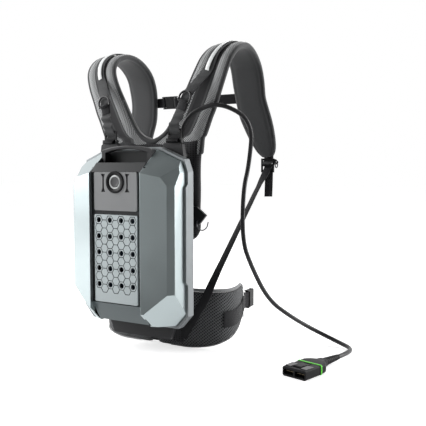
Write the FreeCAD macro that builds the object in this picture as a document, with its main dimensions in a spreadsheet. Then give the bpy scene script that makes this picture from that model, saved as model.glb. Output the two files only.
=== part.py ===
import FreeCAD, Part
import math
import os
from types import SimpleNamespace
import Sketcher

# Backpack battery power pack on a carrying harness, with its output lead and plug.
# X runs to the right of someone facing the pack's grille, Y from the grille towards
# the wearer and Z up from the floor. The shapes are drawn with the grille's face at
# Y = 0, and every sub-part's Placement then moves it by front_y.

V = FreeCAD.Vector
doc = FreeCAD.newDocument("PowerPack")
sheet = doc.addObject("Spreadsheet::Sheet", "Sizes")

SIZES = {
    # placing and fits
    "front_y": -196.7,
    "fit_gap": 0.3,
    # battery housing
    "shell_wall": 3,
    "housing_half_width": 141,
    "housing_bottom": 72,
    "housing_top": 462,
    "housing_depth": 70,
    "channel_half_width": 69.5,
    "cover_lip": 5,
    "front_corner_x": 128.8,
    "front_corner_y": 10.7,
    "side_chamfer": 11.7,
    "shoulder_drop": 26,
    "rim_step": 6,
    "rim_front": 60,
    "rim_depth": 33,
    "screw_post_radius": 5,
    "screw_hole_radius": 2.2,
    # centre of the front
    "chin_top": 121,
    "chin_depth": 29,
    "panel_seat": 4,
    "panel_top": 413,
    "brow_depth": 21,
    "pocket_floor": 424,
    "pocket_back": 63,
    "panel_half_width": 59,
    "grille_bottom": 123,
    "grille_top": 319,
    "grille_centre": 235,
    "honeycomb_pitch": 36,
    "groove_width": 1.6,
    "groove_depth": 1.2,
    "vent_radius": 6,
    "control_bottom": 328,
    # power button
    "button_drop": 22,
    "bezel_radius": 24.5,
    "bezel_lip": 2.5,
    "light_radius": 15.2,
    "button_radius": 11.6,
    "stem_radius": 4,
    # carry handle
    "handle_y": 40,
    "handle_width": 16,
    "handle_bar": 8,
    "handle_rise": 8,
    "handle_leg": 10,
    # inside the housing
    "module_width": 112,
    "module_height": 256,
    "module_depth": 62,
    "board_thickness": 1.6,
    # back frame
    "frame_half_width": 114,
    "frame_thickness": 12,
    "frame_bottom": 30,
    "frame_top": 478,
    # webbing and harness
    "webbing_width": 25,
    "tail_width": 20,
    "webbing_thickness": 1.6,
    "pad_thickness": 20,
    "pad_half_width": 132,
    "pad_bottom": 250,
    "pad_top": 499.6,
    "pad_front": 139,
    "belt_thickness": 14,
    "ring_wire": 2.2,
    "ring_half_width": 15,
    # cord and plug
    "cord_diameter": 10,
    "plug_width": 58,
    "plug_height": 20,
}


class Bound:
    """A number and the spreadsheet expression that gives it."""

    def __init__(self, value, text):
        self.value = value
        self.text = text

    def joined(self, other, sign, value):
        return Bound(value, f"({self.text} {sign} {bound(other).text})")

    def __add__(self, other):
        return self.joined(other, "+", self.value + bound(other).value)

    def __sub__(self, other):
        return self.joined(other, "-", self.value - bound(other).value)

    def __mul__(self, other):
        return self.joined(other, "*", self.value * bound(other).value)

    def __truediv__(self, other):
        return self.joined(other, "/", self.value / bound(other).value)

    def __neg__(self):
        return self * -1

    def __radd__(self, other):
        return bound(other) + self

    def __rsub__(self, other):
        return bound(other) - self

    def __rmul__(self, other):
        return bound(other) * self


def bound(number):
    return number if isinstance(number, Bound) else Bound(float(number), repr(float(number)))


def fill_sheet():
    """Write the driving dimensions and return them as bound and as plain numbers."""
    for row, (alias, value) in enumerate(SIZES.items(), start=1):
        sheet.set(f"A{row}", alias)
        sheet.set(f"B{row}", str(value))
        sheet.setAlias(f"B{row}", alias)
    doc.recompute()
    plain = {alias: float(sheet.get(alias)) for alias in SIZES}
    linked = {alias: Bound(value, f"Sizes.{alias}") for alias, value in plain.items()}
    return SimpleNamespace(**linked), SimpleNamespace(**plain)


S, N = fill_sheet()
sub_parts = []
NORMAL_SIGN = {"XY_Plane": 1, "XZ_Plane": -1, "YZ_Plane": 1}


def bind(thing, name, number):
    thing.setExpression(name, bound(number).text)


def place(thing, x=0, y=0, z=0):
    """Place a sub-part, with its depth counted from the grille's face."""
    bind(thing, "Placement.Base.x", x)
    bind(thing, "Placement.Base.y", S.front_y + y)
    bind(thing, "Placement.Base.z", z)


def new_body(name, x=0, y=0, z=0):
    body = doc.addObject("PartDesign::Body", name)
    body.Label = name
    place(body, x, y, z)
    sub_parts.append(body)
    return body


def new_sketch(body, role, level):
    """A sketch on one of the body's planes, moved along the plane's world axis."""
    sketch = body.newObject("Sketcher::SketchObject", body.Name + "_sketch")
    plane = next(f for f in body.Origin.OriginFeatures if f.Role == role)
    sketch.AttachmentSupport = [(plane, "")]
    sketch.MapMode = "FlatFace"
    bind(sketch, "AttachmentOffset.Base.z", bound(level) * NORMAL_SIGN[role])
    return sketch


def pin_point(sketch, geometry, point, x, y):
    for kind, number in (("DistanceX", bound(x)), ("DistanceY", bound(y))):
        index = sketch.addConstraint(Sketcher.Constraint(kind, -1, 1, geometry, point, number.value))
        sketch.setExpression(f"Constraints[{index}]", number.text)


def polygon(body, role, corners, level=0):
    """A closed outline whose corners all follow the sheet."""
    sketch = new_sketch(body, role, level)
    spots = [V(bound(x).value, bound(y).value, 0) for x, y in corners]
    for start, end in zip(spots, spots[1:] + spots[:1]):
        sketch.addGeometry(Part.LineSegment(start, end))
    for index in range(len(spots)):
        sketch.addConstraint(Sketcher.Constraint("Coincident", index, 2, (index + 1) % len(spots), 1))
    for index, (x, y) in enumerate(corners):
        pin_point(sketch, index, 1, x, y)
    return sketch


def rectangle(body, role, low, high, level=0):
    corners = [(low[0], low[1]), (high[0], low[1]), (high[0], high[1]), (low[0], high[1])]
    return polygon(body, role, corners, level)


def circles(body, role, centres, radius, level=0):
    sketch = new_sketch(body, role, level)
    for index, (x, y) in enumerate(centres):
        centre = V(bound(x).value, bound(y).value, 0)
        sketch.addGeometry(Part.Circle(centre, V(0, 0, 1), bound(radius).value))
        pin_point(sketch, index, 3, x, y)
        number = sketch.addConstraint(Sketcher.Constraint("Radius", index, bound(radius).value))
        sketch.setExpression(f"Constraints[{number}]", bound(radius).text)
    return sketch


def plane_role(sketch):
    return sketch.AttachmentSupport[0][0].Role


def pad(body, sketch, length, towards=1):
    feature = body.newObject("PartDesign::Pad", body.Name + "_pad")
    feature.Profile = sketch
    bind(feature, "Length", length)
    feature.Reversed = towards != NORMAL_SIGN[plane_role(sketch)]
    return feature


def pocket(body, sketch, length, towards=1):
    feature = body.newObject("PartDesign::Pocket", body.Name + "_pocket")
    feature.Profile = sketch
    bind(feature, "Length", length)
    feature.Reversed = towards == NORMAL_SIGN[plane_role(sketch)]
    return feature


def revolve(body, sketch, axis="H_Axis"):
    feature = body.newObject("PartDesign::Revolution", body.Name + "_turned")
    feature.Profile = sketch
    feature.ReferenceAxis = (sketch, [axis])
    feature.Angle = 360
    return feature


def repeat(body, feature, across, up):
    """Copy one feature over a grid. Each direction is (count, pitch), and -1 means the set pitch."""
    grid = body.newObject("PartDesign::LinearPattern", body.Name + "_grid")
    grid.Originals = [feature]
    sketch = feature.Profile[0]
    grid.Direction = (sketch, ["H_Axis"])
    grid.Mode = "Spacing"
    bind(grid, "Offset", across[1])
    grid.Occurrences = across[0]
    grid.Direction2 = (sketch, ["V_Axis"])
    grid.Mode2 = "Spacing"
    bind(grid, "Offset2", up[1])
    grid.Occurrences2 = up[0]
    grid.Spacings2 = [-1] * (up[0] - 1)
    body.Tip = grid
    return grid


def soften(body, feature, radius, chosen, kind="PartDesign::Fillet"):
    """Round or bevel the edges of a feature that pass a test."""
    doc.recompute()
    names = [f"Edge{i}" for i, edge in enumerate(feature.Shape.Edges, start=1) if chosen(edge)]
    blend = body.newObject(kind, body.Name + "_edges")
    blend.Base = (feature, names)
    bind(blend, "Radius" if kind.endswith("Fillet") else "Size", radius)
    return blend


def along(axis):
    """A test for straight edges that run along one world axis."""
    def test(edge):
        if edge.Curve.TypeId != "Part::GeomLine":
            return False
        return abs(edge.Curve.Direction.dot(axis)) > 0.999
    return test


def shape_part(name, shape, x=0, y=0, z=0):
    """A sub-part whose shape is worked out in code, from the sheet's values."""
    thing = doc.addObject("Part::Feature", name)
    thing.Label = name
    thing.Shape = shape
    place(thing, x, y, z)
    sub_parts.append(thing)
    return thing


def mirror_part(name, source):
    """The same piece on the wearer's other side."""
    thing = doc.addObject("Part::Mirroring", name)
    thing.Label = name
    thing.Source = source
    thing.Normal = V(1, 0, 0)
    sub_parts.append(thing)
    return thing


def box(across, deep, tall):
    """A block given by its span along X, Y and Z."""
    size = [span[1] - span[0] for span in (across, deep, tall)]
    return Part.makeBox(*size, V(across[0], deep[0], tall[0]))


def rod(start, end, radius):
    start, end = V(*start), V(*end)
    return Part.makeCylinder(radius, (end - start).Length, start, end - start)


def prism(corners, way):
    """Pull a closed outline of 3-D corners along a vector."""
    spots = [V(*corner) for corner in corners]
    return Part.Face(Part.makePolygon(spots + spots[:1])).extrude(V(*way))


def joined(shapes):
    return shapes[0].multiFuse(shapes[1:]).removeSplitter()


def cut_behind(solid, points, inside, inset=0.0):
    """Cut away what lies beyond the plane through three points."""
    first, second, third = (V(*point) for point in points)
    outward = (second - first).cross(third - first).normalize()
    if outward.dot(V(*inside) - first) > 0:
        outward = outward * -1
    reach = 1500
    block = Part.makeBox(reach, reach, reach, V(-reach / 2, -reach / 2, 0))
    block.Placement = FreeCAD.Placement(first - outward * inset, FreeCAD.Rotation(V(0, 0, 1), outward))
    return solid.cut(block)


def rounded_path(points, share=0.45):
    """Straight runs joined by tangent arcs. Returns the edges and the smallest arc radius."""
    spots = [V(*point) for point in points]
    edges, radii, last = [], [], spots[0]
    for before, corner, after in zip(spots, spots[1:], spots[2:]):
        arriving = (corner - before).normalize()
        leaving = (after - corner).normalize()
        half_turn = arriving.getAngle(leaving) / 2
        tangent = share * min((corner - before).Length, (after - corner).Length)
        radius = tangent / math.tan(half_turn)
        towards = (leaving - arriving).normalize()
        centre = corner + towards * (radius / math.cos(half_turn))
        start, end = corner - arriving * tangent, corner + leaving * tangent
        if (start - last).Length > 1e-6:
            edges.append(Part.makeLine(last, start))
        edges.append(Part.Arc(start, centre - towards * radius, end).toShape())
        radii.append(radius)
        last = end
    edges.append(Part.makeLine(last, spots[-1]))
    return edges, min(radii, default=0)


def tube(points, radius, share=0.45):
    """A round rod or cord along a rounded path."""
    edges, bend = rounded_path(points, share)
    start, end = V(*points[0]), V(*points[1])
    ring = Part.Wire([Part.makeCircle(radius, start, end - start)])
    solid = Part.Wire(edges).makePipeShell([ring], True, True)
    return solid, sum(edge.Length for edge in edges), bend


def ribbon(points, across, width, thickness, share=0.45):
    """Flat webbing along a path that lies in one plane, with its width square to it."""
    edges, _ = rounded_path(points, share)
    side = V(*across).normalize()
    start = V(*points[0])
    forward = (V(*points[1]) - start).normalize()
    up = side.cross(forward).normalize()
    corners = [start + side * (a * width / 2) + up * (b * thickness / 2)
               for a, b in ((-1, -1), (1, -1), (1, 1), (-1, 1))]
    sweep = Part.BRepOffsetAPI.MakePipeShell(Part.Wire(edges))
    sweep.setBiNormalMode(side)
    sweep.add(Part.makePolygon(corners + corners[:1]))
    sweep.build()
    sweep.makeSolid()
    return sweep.shape()


def outline(spots, bows):
    """A closed wire through corner spots. A side with a bow is an arc through it."""
    edges = []
    for start, end, bow in zip(spots, spots[1:] + spots[:1], bows):
        if bow is None:
            edges.append(Part.makeLine(start, end))
        else:
            edges.append(Part.Arc(start, bow, end).toShape())
    return Part.Wire(edges)


def cushion_section(centre, side, up, width, thickness, crown):
    """One cross-section of a padded band, crowned on both faces and drawn in at the sides."""
    inner = width / 2 - 0.32 * thickness
    level = thickness / 2 - crown
    spots = [centre + side * (a * inner) + up * (b * level)
             for a, b in ((-1, -1), (1, -1), (1, 1), (-1, 1))]
    bows = [centre - up * (thickness / 2), centre + side * (width / 2),
            centre + up * (thickness / 2), centre - side * (width / 2)]
    return outline(spots, bows)


def flat_section(centre, side, up, width, thickness):
    spots = [centre + side * (a * width / 2) + up * (b * thickness / 2)
             for a, b in ((-1, -1), (1, -1), (1, 1), (-1, 1))]
    return outline(spots, [None] * 4)


def both_sides(shape):
    """A piece and its mirror image on the wearer's other side, as one sub-part."""
    return Part.makeCompound([shape, shape.mirror(V(0, 0, 0), V(1, 0, 0))])


# Battery housing.
def cover_block(inset):
    """The outer form of the right cover, or of the room inside it, as cut facets."""
    inner, outer = N.channel_half_width, N.housing_half_width
    low, top, brow = N.housing_bottom, N.housing_top, N.panel_top
    corner = (N.front_corner_x, N.front_corner_y)
    beside = (corner[0] + N.side_chamfer, corner[1] + N.side_chamfer)
    shoulder = top - N.shoulder_drop
    deep = N.housing_depth
    knee = (inner + 6.5, 1.7 - N.cover_lip, low + 34)
    facets = [
        [(inner, -N.cover_lip, low), (inner, -N.cover_lip, top), (*corner, low)],
        [(*corner, low), (*corner, top), (*beside, low)],
        [(inner, -N.cover_lip, brow - 2), (115, 7, brow - 11), (98, 60, top - 12)],
        [(inner, 0, top), (inner, deep, top), (outer - 9, 0, shoulder)],
        [(outer - 9, 0, shoulder), (outer - 9, deep, shoulder), (outer, 0, shoulder - 25)],
        [(115, 7, brow - 11), (*corner, brow - 29), (outer - 4, 45, brow + 7)],
        [knee, (inner - 3.5, 30, low + 2), (outer - 15, 30, low + 17)],
        [knee, (120, 8.4, low + 71), (outer, 65, low + 32)],
    ]
    solid = box((inner + inset, outer - inset), (-10, deep + (1 if inset else 0)), (low + inset, top))
    for points in facets:
        solid = cut_behind(solid, points, (100, 55, 250), inset)
    return solid


POST_X = 126
POST_HEIGHTS = (130, 255, 392)
PILOT_RADIUS = 1.85
FRAME_SCREWS = [(side * 80, height) for side in (-1, 1) for height in (110, 240, 430)]


def make_cover():
    """The right cover: a faceted skin, open at the back and along the centre."""
    outer = cover_block(0)
    inner, deep = N.channel_half_width, N.housing_depth
    room = cover_block(N.shell_wall)
    doorway = box((inner - 1, inner + N.shell_wall + 1), (10, deep + 1),
                  (N.housing_bottom + 3, N.pocket_floor))
    skin = outer.cut(room).cut(doorway)
    for height in POST_HEIGHTS:
        post = rod((POST_X, -5, height), (POST_X, deep + 2, height), N.screw_post_radius + 1)
        inside = box((0, N.housing_half_width), (-10, deep + 2), (0, 600))
        post = post.common(inside).cut(rod((POST_X, deep - 30, height), (POST_X, deep + 3, height),
                                           PILOT_RADIUS))
        front = post.common(outer)
        back = post.common(box((0, 200), (deep - 1, deep + 2), (0, 600)))
        skin = skin.fuse(front).fuse(back)
    return skin.removeSplitter()


right_cover = shape_part("right_cover", make_cover())
left_cover = mirror_part("left_cover", right_cover)


def rim_outline(shrink):
    """The rim of the rear shell seen from the front, drawn in by a distance."""
    half = N.housing_half_width + N.rim_step
    low = N.housing_bottom - N.rim_step
    top = N.housing_top + N.rim_step
    right = [(half - 26, low), (half, low + 30), (half, top - 55), (half - 10, top - 27), (half - 75, top)]
    left = [(-x, z) for x, z in reversed(right)]
    spots = [V(x, 0, z) for x, z in right + left]
    wire = Part.makePolygon(spots + spots[:1])
    return wire.makeOffset2D(-shrink, 2, False, False, True) if shrink else wire


def rim_prism(shrink, start, end):
    face = Part.Face(Part.Wire(rim_outline(shrink).Edges))
    solid = face.extrude(V(0, end - start, 0))
    solid.translate(V(0, start, 0))
    return solid


def make_rear_shell():
    back = N.rim_front + N.rim_depth
    lip = N.rim_front + 6
    outer = rim_prism(0, lip, back)
    rear_edges = [e for e in outer.Edges if all(abs(v.Y - back) < 1e-6 for v in e.Vertexes)]
    outer = outer.makeChamfer(5, rear_edges)
    half = N.housing_half_width
    for side in (-1, 1):
        low, high = N.housing_bottom + 101, N.panel_top - 34
        corners = [(side * (half + N.fit_gap), y, z) for y, z in
                   ((lip + 2, low - 10), (lip, low - 8), (lip - 8, low), (lip - 8, high), (lip, high + 8),
                    (lip + 2, high + 10))]
        outer = outer.fuse(prism(corners, (side * (N.rim_step - N.fit_gap), 0, 0)))
    shell = outer.cut(rim_prism(N.rim_step - N.fit_gap, lip - 10, N.housing_depth))
    shell = shell.cut(rim_prism(N.rim_step + 2.5, N.housing_depth - 1, back - 3))
    wall = back - 3
    pieces = [shell, box((-116, 116), (36, wall + 1), (132, 136))]
    for x in (-100, -35, 35, 100):
        pieces.append(prism([(x - 1.5, wall + 1, 104), (x - 1.5, wall + 1, 133), (x - 1.5, 44, 133)],
                            (3, 0, 0)))
    for side in (-1, 1):
        for height in POST_HEIGHTS:
            x = side * POST_X
            pieces.append(rod((x, N.housing_depth + 2, height), (x, wall + 1, height), 7))
    shell = joined(pieces)
    for side in (-1, 1):
        for height in POST_HEIGHTS:
            x = side * POST_X
            shell = shell.cut(rod((x, 60, height), (x, back + 1, height), N.screw_hole_radius))
            shell = shell.cut(rod((x, back - 4, height), (x, back + 1, height), 4.2))
    for x, z in FRAME_SCREWS:
        shell = shell.cut(rod((x, wall - 1, z), (x, back + 1, z), 2.05))
    return shell


rear_shell = shape_part("rear_shell", make_rear_shell())

half_channel = S.channel_half_width - S.fit_gap
button_level = S.panel_top - S.button_drop

spine = new_body("centre_spine")
spine_profile = polygon(spine, "YZ_Plane", [
    (S.panel_seat, S.chin_top), (S.panel_seat, S.panel_top), (0, S.panel_top),
    (S.brow_depth, S.panel_top + S.brow_depth), (S.brow_depth + 3, S.panel_top + S.brow_depth),
    (S.brow_depth + 3, S.pocket_floor + S.shell_wall), (S.pocket_back, S.pocket_floor + S.shell_wall),
    (S.pocket_back, S.housing_top - 2), (S.housing_depth, S.housing_top - 2),
    (S.housing_depth, S.pocket_floor),
    (S.brow_depth - 1, S.pocket_floor), (S.panel_seat + 3, S.panel_top - 8),
    (S.panel_seat + 3, S.chin_top)], -half_channel)
pad(spine, spine_profile, half_channel * 2)
pocket(spine, circles(spine, "XZ_Plane", [(0, button_level)], S.bezel_radius - 1.8, -1), S.panel_seat + 1)
window = rectangle(spine, "XZ_Plane", (-54, S.grille_bottom + 8), (54, S.grille_top - 8), S.panel_seat - 1)
pocket(spine, window, 6)
stem_hole = circles(spine, "XZ_Plane", [(0, button_level)], S.stem_radius + 1.5, S.panel_seat - 1)
pocket(spine, stem_hole, 6)

chin = new_body("chin_panel")
chin_profile = polygon(chin, "YZ_Plane", [
    (0, S.chin_top), (S.chin_depth, S.housing_bottom + 4), (S.housing_depth, S.housing_bottom),
    (S.housing_depth, S.housing_bottom + 3), (S.chin_depth + 1.4, S.housing_bottom + 7),
    (S.panel_seat + 3, S.chin_top)], -half_channel)
pad(chin, chin_profile, half_channel * 2)

# The grille is a flat panel. Grooves round every cell make its honeycomb.
grille = new_body("grille_panel")
grille_plate = pad(grille, rectangle(grille, "XZ_Plane", (-S.panel_half_width, S.grille_bottom),
                                     (S.panel_half_width, S.grille_top)), S.panel_seat)
soften(grille, grille_plate, 3, along(V(0, 1, 0)))


def hexagon(body, x, z, grow):
    """Two hexagons, one inside the other, that leave a groove of one width."""
    sketch = new_sketch(body, "XZ_Plane", 0)
    half = S.honeycomb_pitch / 4
    index = 0
    for reach in (half + grow, half - grow):
        corner = reach * (2 / math.sqrt(3))
        corners = [(x + corner, z), (x + corner / 2, z + reach), (x - corner / 2, z + reach),
                   (x - corner, z), (x - corner / 2, z - reach), (x + corner / 2, z - reach)]
        spots = [V(bound(a).value, bound(b).value, 0) for a, b in corners]
        for start, end in zip(spots, spots[1:] + spots[:1]):
            sketch.addGeometry(Part.LineSegment(start, end))
        for number in range(6):
            sketch.addConstraint(Sketcher.Constraint("Coincident", index + number, 2,
                                                     index + (number + 1) % 6, 1))
        for number, (a, b) in enumerate(corners):
            pin_point(sketch, index + number, 1, a, b)
        index += 6
    return sketch


column = S.honeycomb_pitch * (math.sqrt(3) / 4)
row = S.honeycomb_pitch / 2
for first_x, first_z, columns in ((-3 * column, S.grille_centre - 4 * row, 4),
                                  (-2 * column, S.grille_centre - 4.5 * row, 3)):
    groove = pocket(grille, hexagon(grille, first_x, first_z, S.groove_width / 2), S.groove_depth)
    repeat(grille, groove, (columns, column * 2), (9, row))
vent = circles(grille, "XZ_Plane", [(-3 * column, S.grille_centre - 4 * row)], S.vent_radius)
vent_cut = pocket(grille, vent, S.panel_seat + 1)
repeat(grille, vent_cut, (4, column * 2), (5, row * 2))

control = new_body("control_panel")
control_plate = pad(control, rectangle(control, "XZ_Plane", (-S.panel_half_width, S.control_bottom),
                                       (S.panel_half_width, S.panel_top - S.fit_gap)), S.panel_seat)
soften(control, control_plate, 4, along(V(0, 1, 0)))
pocket(control, circles(control, "XZ_Plane", [(0, button_level)], S.bezel_radius - 2), S.panel_seat + 1)
bracket_form = [(3, 18), (15, 18), (10.5, 11), (10.5, -14), (15, -22), (3, -22), (6.5, -13), (6.5, 9)]
for side in (-1, 1):
    bracket = [(side * (S.bezel_radius + out), button_level + rise) for out, rise in bracket_form]
    pocket(control, polygon(control, "XZ_Plane", bracket), 2.2)

ring_seat = S.panel_seat
bezel = new_body("bezel_ring", 0, 0, button_level)
revolve(bezel, polygon(bezel, "XY_Plane", [
    (S.light_radius + S.fit_gap, ring_seat), (S.light_radius + S.fit_gap, -0.5),
    (S.bezel_radius - 4.5, -S.bezel_lip),
    (S.bezel_radius - 1, -S.bezel_lip), (S.bezel_radius, 1 - S.bezel_lip), (S.bezel_radius, 0),
    (S.bezel_radius - 2 - 0.1, 0), (S.bezel_radius - 2 - 0.1, ring_seat)]), "V_Axis")

light = new_body("light_ring", 0, 0, button_level)
revolve(light, polygon(light, "XY_Plane", [
    (S.button_radius + 0.35, ring_seat), (S.button_radius + 0.35, -1.2), (S.button_radius + 1.5, -1.8),
    (S.light_radius - 1, -1.2), (S.light_radius, -0.6), (S.light_radius, ring_seat)]), "V_Axis")

button = new_body("power_button", 0, 0, button_level)
revolve(button, polygon(button, "XY_Plane", [
    (0, -1.2), (S.button_radius * 0.55, -1.3), (S.button_radius - 1.2, -1.9), (S.button_radius, -1.2),
    (S.button_radius, 1), (S.stem_radius, 1), (S.stem_radius, S.panel_seat + 10), (0, S.panel_seat + 10)]),
    "V_Axis")

switch = new_body("button_switch", 0, 0, button_level)
revolve(switch, polygon(switch, "XY_Plane", [
    (S.stem_radius + 0.08, S.panel_seat + 3), (12, S.panel_seat + 3), (12, S.panel_seat + 20),
    (0, S.panel_seat + 20),
    (0, S.panel_seat + 17), (9, S.panel_seat + 17), (9, S.panel_seat + 5),
    (S.stem_radius + 0.08, S.panel_seat + 5)]), "V_Axis")


def make_handle():
    """A carry handle: two flat legs and a low arch over the hand pocket."""
    half, base = N.channel_half_width - N.fit_gap, N.pocket_floor + N.shell_wall
    crest = N.housing_top + N.handle_rise + 2
    bar, leg = N.handle_bar, N.handle_leg
    side = crest - 9
    outer = [V(-half, 0, base), V(-half, 0, side), V(half, 0, side), V(half, 0, base),
             V(half - leg, 0, base), V(half - leg, 0, side - bar), V(leg - half, 0, side - bar),
             V(leg - half, 0, base)]
    bows = [None, V(0, 0, crest), None, None, None, V(0, 0, crest - bar), None, None]
    solid = Part.Face(outline(outer, bows)).extrude(V(0, N.handle_width, 0))
    solid.translate(V(0, N.handle_y, 0))
    arches = [e for e in solid.Edges if e.Curve.TypeId == "Part::GeomCircle"]
    return solid.makeFillet(2.2, arches)


handle = shape_part("carry_handle", make_handle())

# Inside the housing.
for name, side in (("left_cell_module", -1), ("right_cell_module", 1)):
    module = new_body(name)
    near, far = side * 4, side * (S.module_width + 4)
    low, high = (near, far) if side > 0 else (far, near)
    wall = S.rim_front + S.rim_depth - 3
    block = pad(module, rectangle(module, "XZ_Plane", (low, 136), (high, 136 + S.module_height),
                                  wall - S.module_depth - 4),
                S.module_depth + 4)
    strip = rectangle(module, "XZ_Plane", (low + 4, 141), (low + 54, 150), wall - S.module_depth - 4)
    strips = pad(module, strip, 0.6, -1)
    repeat(module, strips, (2, 54), (13, S.module_height / 14))

board = new_body("management_board")
board_level = 136 + S.module_height
pad(board, rectangle(board, "XY_Plane", (-105, 32), (105, 86), board_level + 6), S.board_thickness)
for x in (-98, 98):
    pad(board, rectangle(board, "XY_Plane", (x - 4, 40), (x + 4, 80), board_level), 6.5)
for x, wide in ((-70, 34), (-20, 22), (30, 40), (75, 20)):
    pad(board, rectangle(board, "XY_Plane", (x - wide / 2, 44), (x + wide / 2, 74), board_level + 7), 8)


def make_screws():
    """Six socket-head screws from the back of the shell into the covers' posts."""
    pieces = []
    back = N.rim_front + N.rim_depth
    for side in (-1, 1):
        for height in POST_HEIGHTS:
            x = side * POST_X
            head = rod((x, back - 4, height), (x, back - 0.5, height), 3.6)
            socket = Part.makeCylinder(1.8, 2, V(x, back - 2.5, height), V(0, 1, 0))
            shank = rod((x, back - 30, height), (x, back - 4, height), PILOT_RADIUS - 0.05)
            pieces.append(head.cut(socket).fuse(shank))
    return Part.makeCompound(pieces)


housing_screws = shape_part("housing_screws", make_screws())

# Back frame.
frame_front = S.rim_front + S.rim_depth
frame_back = frame_front + S.frame_thickness
half = S.frame_half_width
frame = new_body("back_frame")
plate = pad(frame, polygon(frame, "XZ_Plane", [
    (-half, S.frame_top), (-66, S.frame_top), (-58, S.frame_top - 26), (58, S.frame_top - 26),
    (66, S.frame_top), (half, S.frame_top), (half + 4, S.frame_top - 30), (half + 4, 290),
    (half - 10, 180), (half - 18, 70), (half - 34, S.frame_bottom), (34 - half, S.frame_bottom),
    (18 - half, 70), (10 - half, 180), (-4 - half, 290), (-4 - half, S.frame_top - 30)], frame_front),
    S.frame_thickness)
soften(frame, plate, 5, along(V(0, 1, 0)))
for low, high in ((60, 175), (200, 315), (340, 445)):
    pocket(frame, rectangle(frame, "XZ_Plane", (-42, low), (42, high), frame_front - 1),
           S.frame_thickness + 2)
for side in (-1, 1):
    outer, inner = side * 62, side * 50
    left, right = sorted((outer, inner))
    pad(frame, rectangle(frame, "XZ_Plane", (left, 262), (right, 450), frame_back - 0.5),
        S.pad_front - frame_back + 0.5)
    pad(frame, rectangle(frame, "XZ_Plane", (left, 38), (right, 126), frame_back - 0.5),
        148 - frame_back + 0.5)
    pad(frame, rectangle(frame, "XZ_Plane", (side * 91 - 21, S.frame_top - 1),
                         (side * 91 - 17.5, S.frame_top + 10),
                         frame_front + 2), 8)
    pad(frame, rectangle(frame, "XZ_Plane", (side * 91 + 17.5, S.frame_top - 1),
                         (side * 91 + 21, S.frame_top + 10),
                         frame_front + 2), 8)
pad(frame, rectangle(frame, "XZ_Plane", (84, 448), (110, 456), frame_back - 0.5), 24)
pad(frame, rectangle(frame, "XZ_Plane", (96, 300), (110, 332), frame_back - 0.5), 122 - frame_back + 0.5)

def make_frame_screws():
    """Pan-head screws that hold the frame to the shell."""
    y = N.rim_front + N.rim_depth + N.frame_thickness
    pieces = []
    for x, z in FRAME_SCREWS:
        shank = rod((x, y - N.frame_thickness - 3, z), (x, y + 1, z), 2)
        head = rod((x, y + 0.02, z), (x, y + 2.6, z), 4.2).cut(rod((x, y + 1.2, z), (x, y + 3, z), 1.6))
        pieces.append(head.fuse(shank))
    return Part.makeCompound(pieces)


pocket(frame, circles(frame, "XZ_Plane", FRAME_SCREWS, 2.15, frame_front - 1), S.frame_thickness + 2)
frame_screws = shape_part("frame_screws", make_frame_screws())

tab = new_body("tool_tab")
pad(tab, polygon(tab, "XZ_Plane", [(98, 304), (98, 330), (122, 336), (136, 334), (159, 316), (140, 294),
                                   (132, 292), (120, 296)], 122), 6)
pocket(tab, circles(tab, "XZ_Plane", [(137, 303)], 1.9, 121), 8)
HOOK_EYE = (137, 125, 303)


def make_hook():
    """A bent wire hook that hangs from the tab's eye."""
    x, y, z = HOOK_EYE
    points = [(x, y + 7, z - 8), (x, y + 7, z), (x, y - 7, z), (x, y - 7, z - 11), (x + 6, y - 7, z - 19),
              (x + 16, y - 7, z - 21), (x + 27, y - 7, z - 14), (x + 30, y - 7, z - 1)]
    return tube(points, 1.3)[0]


hook = shape_part("tool_hook", make_hook())

GLAND = (97, 118, 456)
RELIEF_TOP = 484
gland = new_body("cable_gland", GLAND[0], GLAND[1], 0)
relief_profile = [(0, GLAND[2]), (10.5, GLAND[2]), (10.5, GLAND[2] + 8), (9.3, GLAND[2] + 9)]
for level in (465, 470, 475):
    wide = 8.6 - (level - 465) * 0.1
    relief_profile += [(wide, level), (wide, level + 3), (wide - 1.2, level + 3.4),
                       (wide - 1.2, level + 4.6)]
relief_profile += [(6.8, 480), (6.2, RELIEF_TOP), (0, RELIEF_TOP)]
revolve(gland, polygon(gland, "XZ_Plane", relief_profile), "V_Axis")


# Padded harness.
# Each station is the middle of the strap, its width and its thickness. The yoke's stations fan out,
# each turned a few degrees further from level.
STRAP = [
    ((71, 148, 489.6), 141, 15), ((84.5, 148, 496.2), 121, 16.5), ((94, 148, 506), 110.3, 17),
    ((103.5, 148, 522.5), 103.6, 17), ((115.5, 148, 546.5), 97, 17), ((128, 148, 572), 93.6, 17),
    ((140.5, 148, 600.5), 89, 17), ((155, 150, 636), 86, 17), ((164, 160, 667), 85, 17),
    ((168, 190, 693), 82, 17), ((167, 232, 705), 80, 17),
    ((164, 275, 695), 82, 17), ((161, 310, 667), 85, 17), ((160, 326, 630), 87, 17),
    ((162, 334, 592), 83, 17), ((168, 340, 560), 84, 17), ((178, 344, 530), 80, 17),
    ((187, 349, 500), 72, 17), ((194, 356, 472), 58, 16), ((197, 360, 458), 44, 13),
    ((198, 362, 450), 30, 10)]


YOKE_LEAN = (0, 2.1, 4.2, 6.1, 11.3, 20, 24)


def station_axes(spots, index):
    """Directions across a band and out of its outer face at one station."""
    if index < len(YOKE_LEAN):
        lean = math.radians(YOKE_LEAN[index])
        return V(math.cos(lean), 0, -math.sin(lean)), V(0, -1, 0)
    forward = (spots[min(index + 1, len(spots) - 1)] - spots[index - 1]).normalize()
    side = (V(1, 0, 0) - forward * forward.x).normalize()
    return side, side.cross(forward).normalize()


STRAP_SPOTS = [V(*spot) for spot, _, _ in STRAP]


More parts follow.
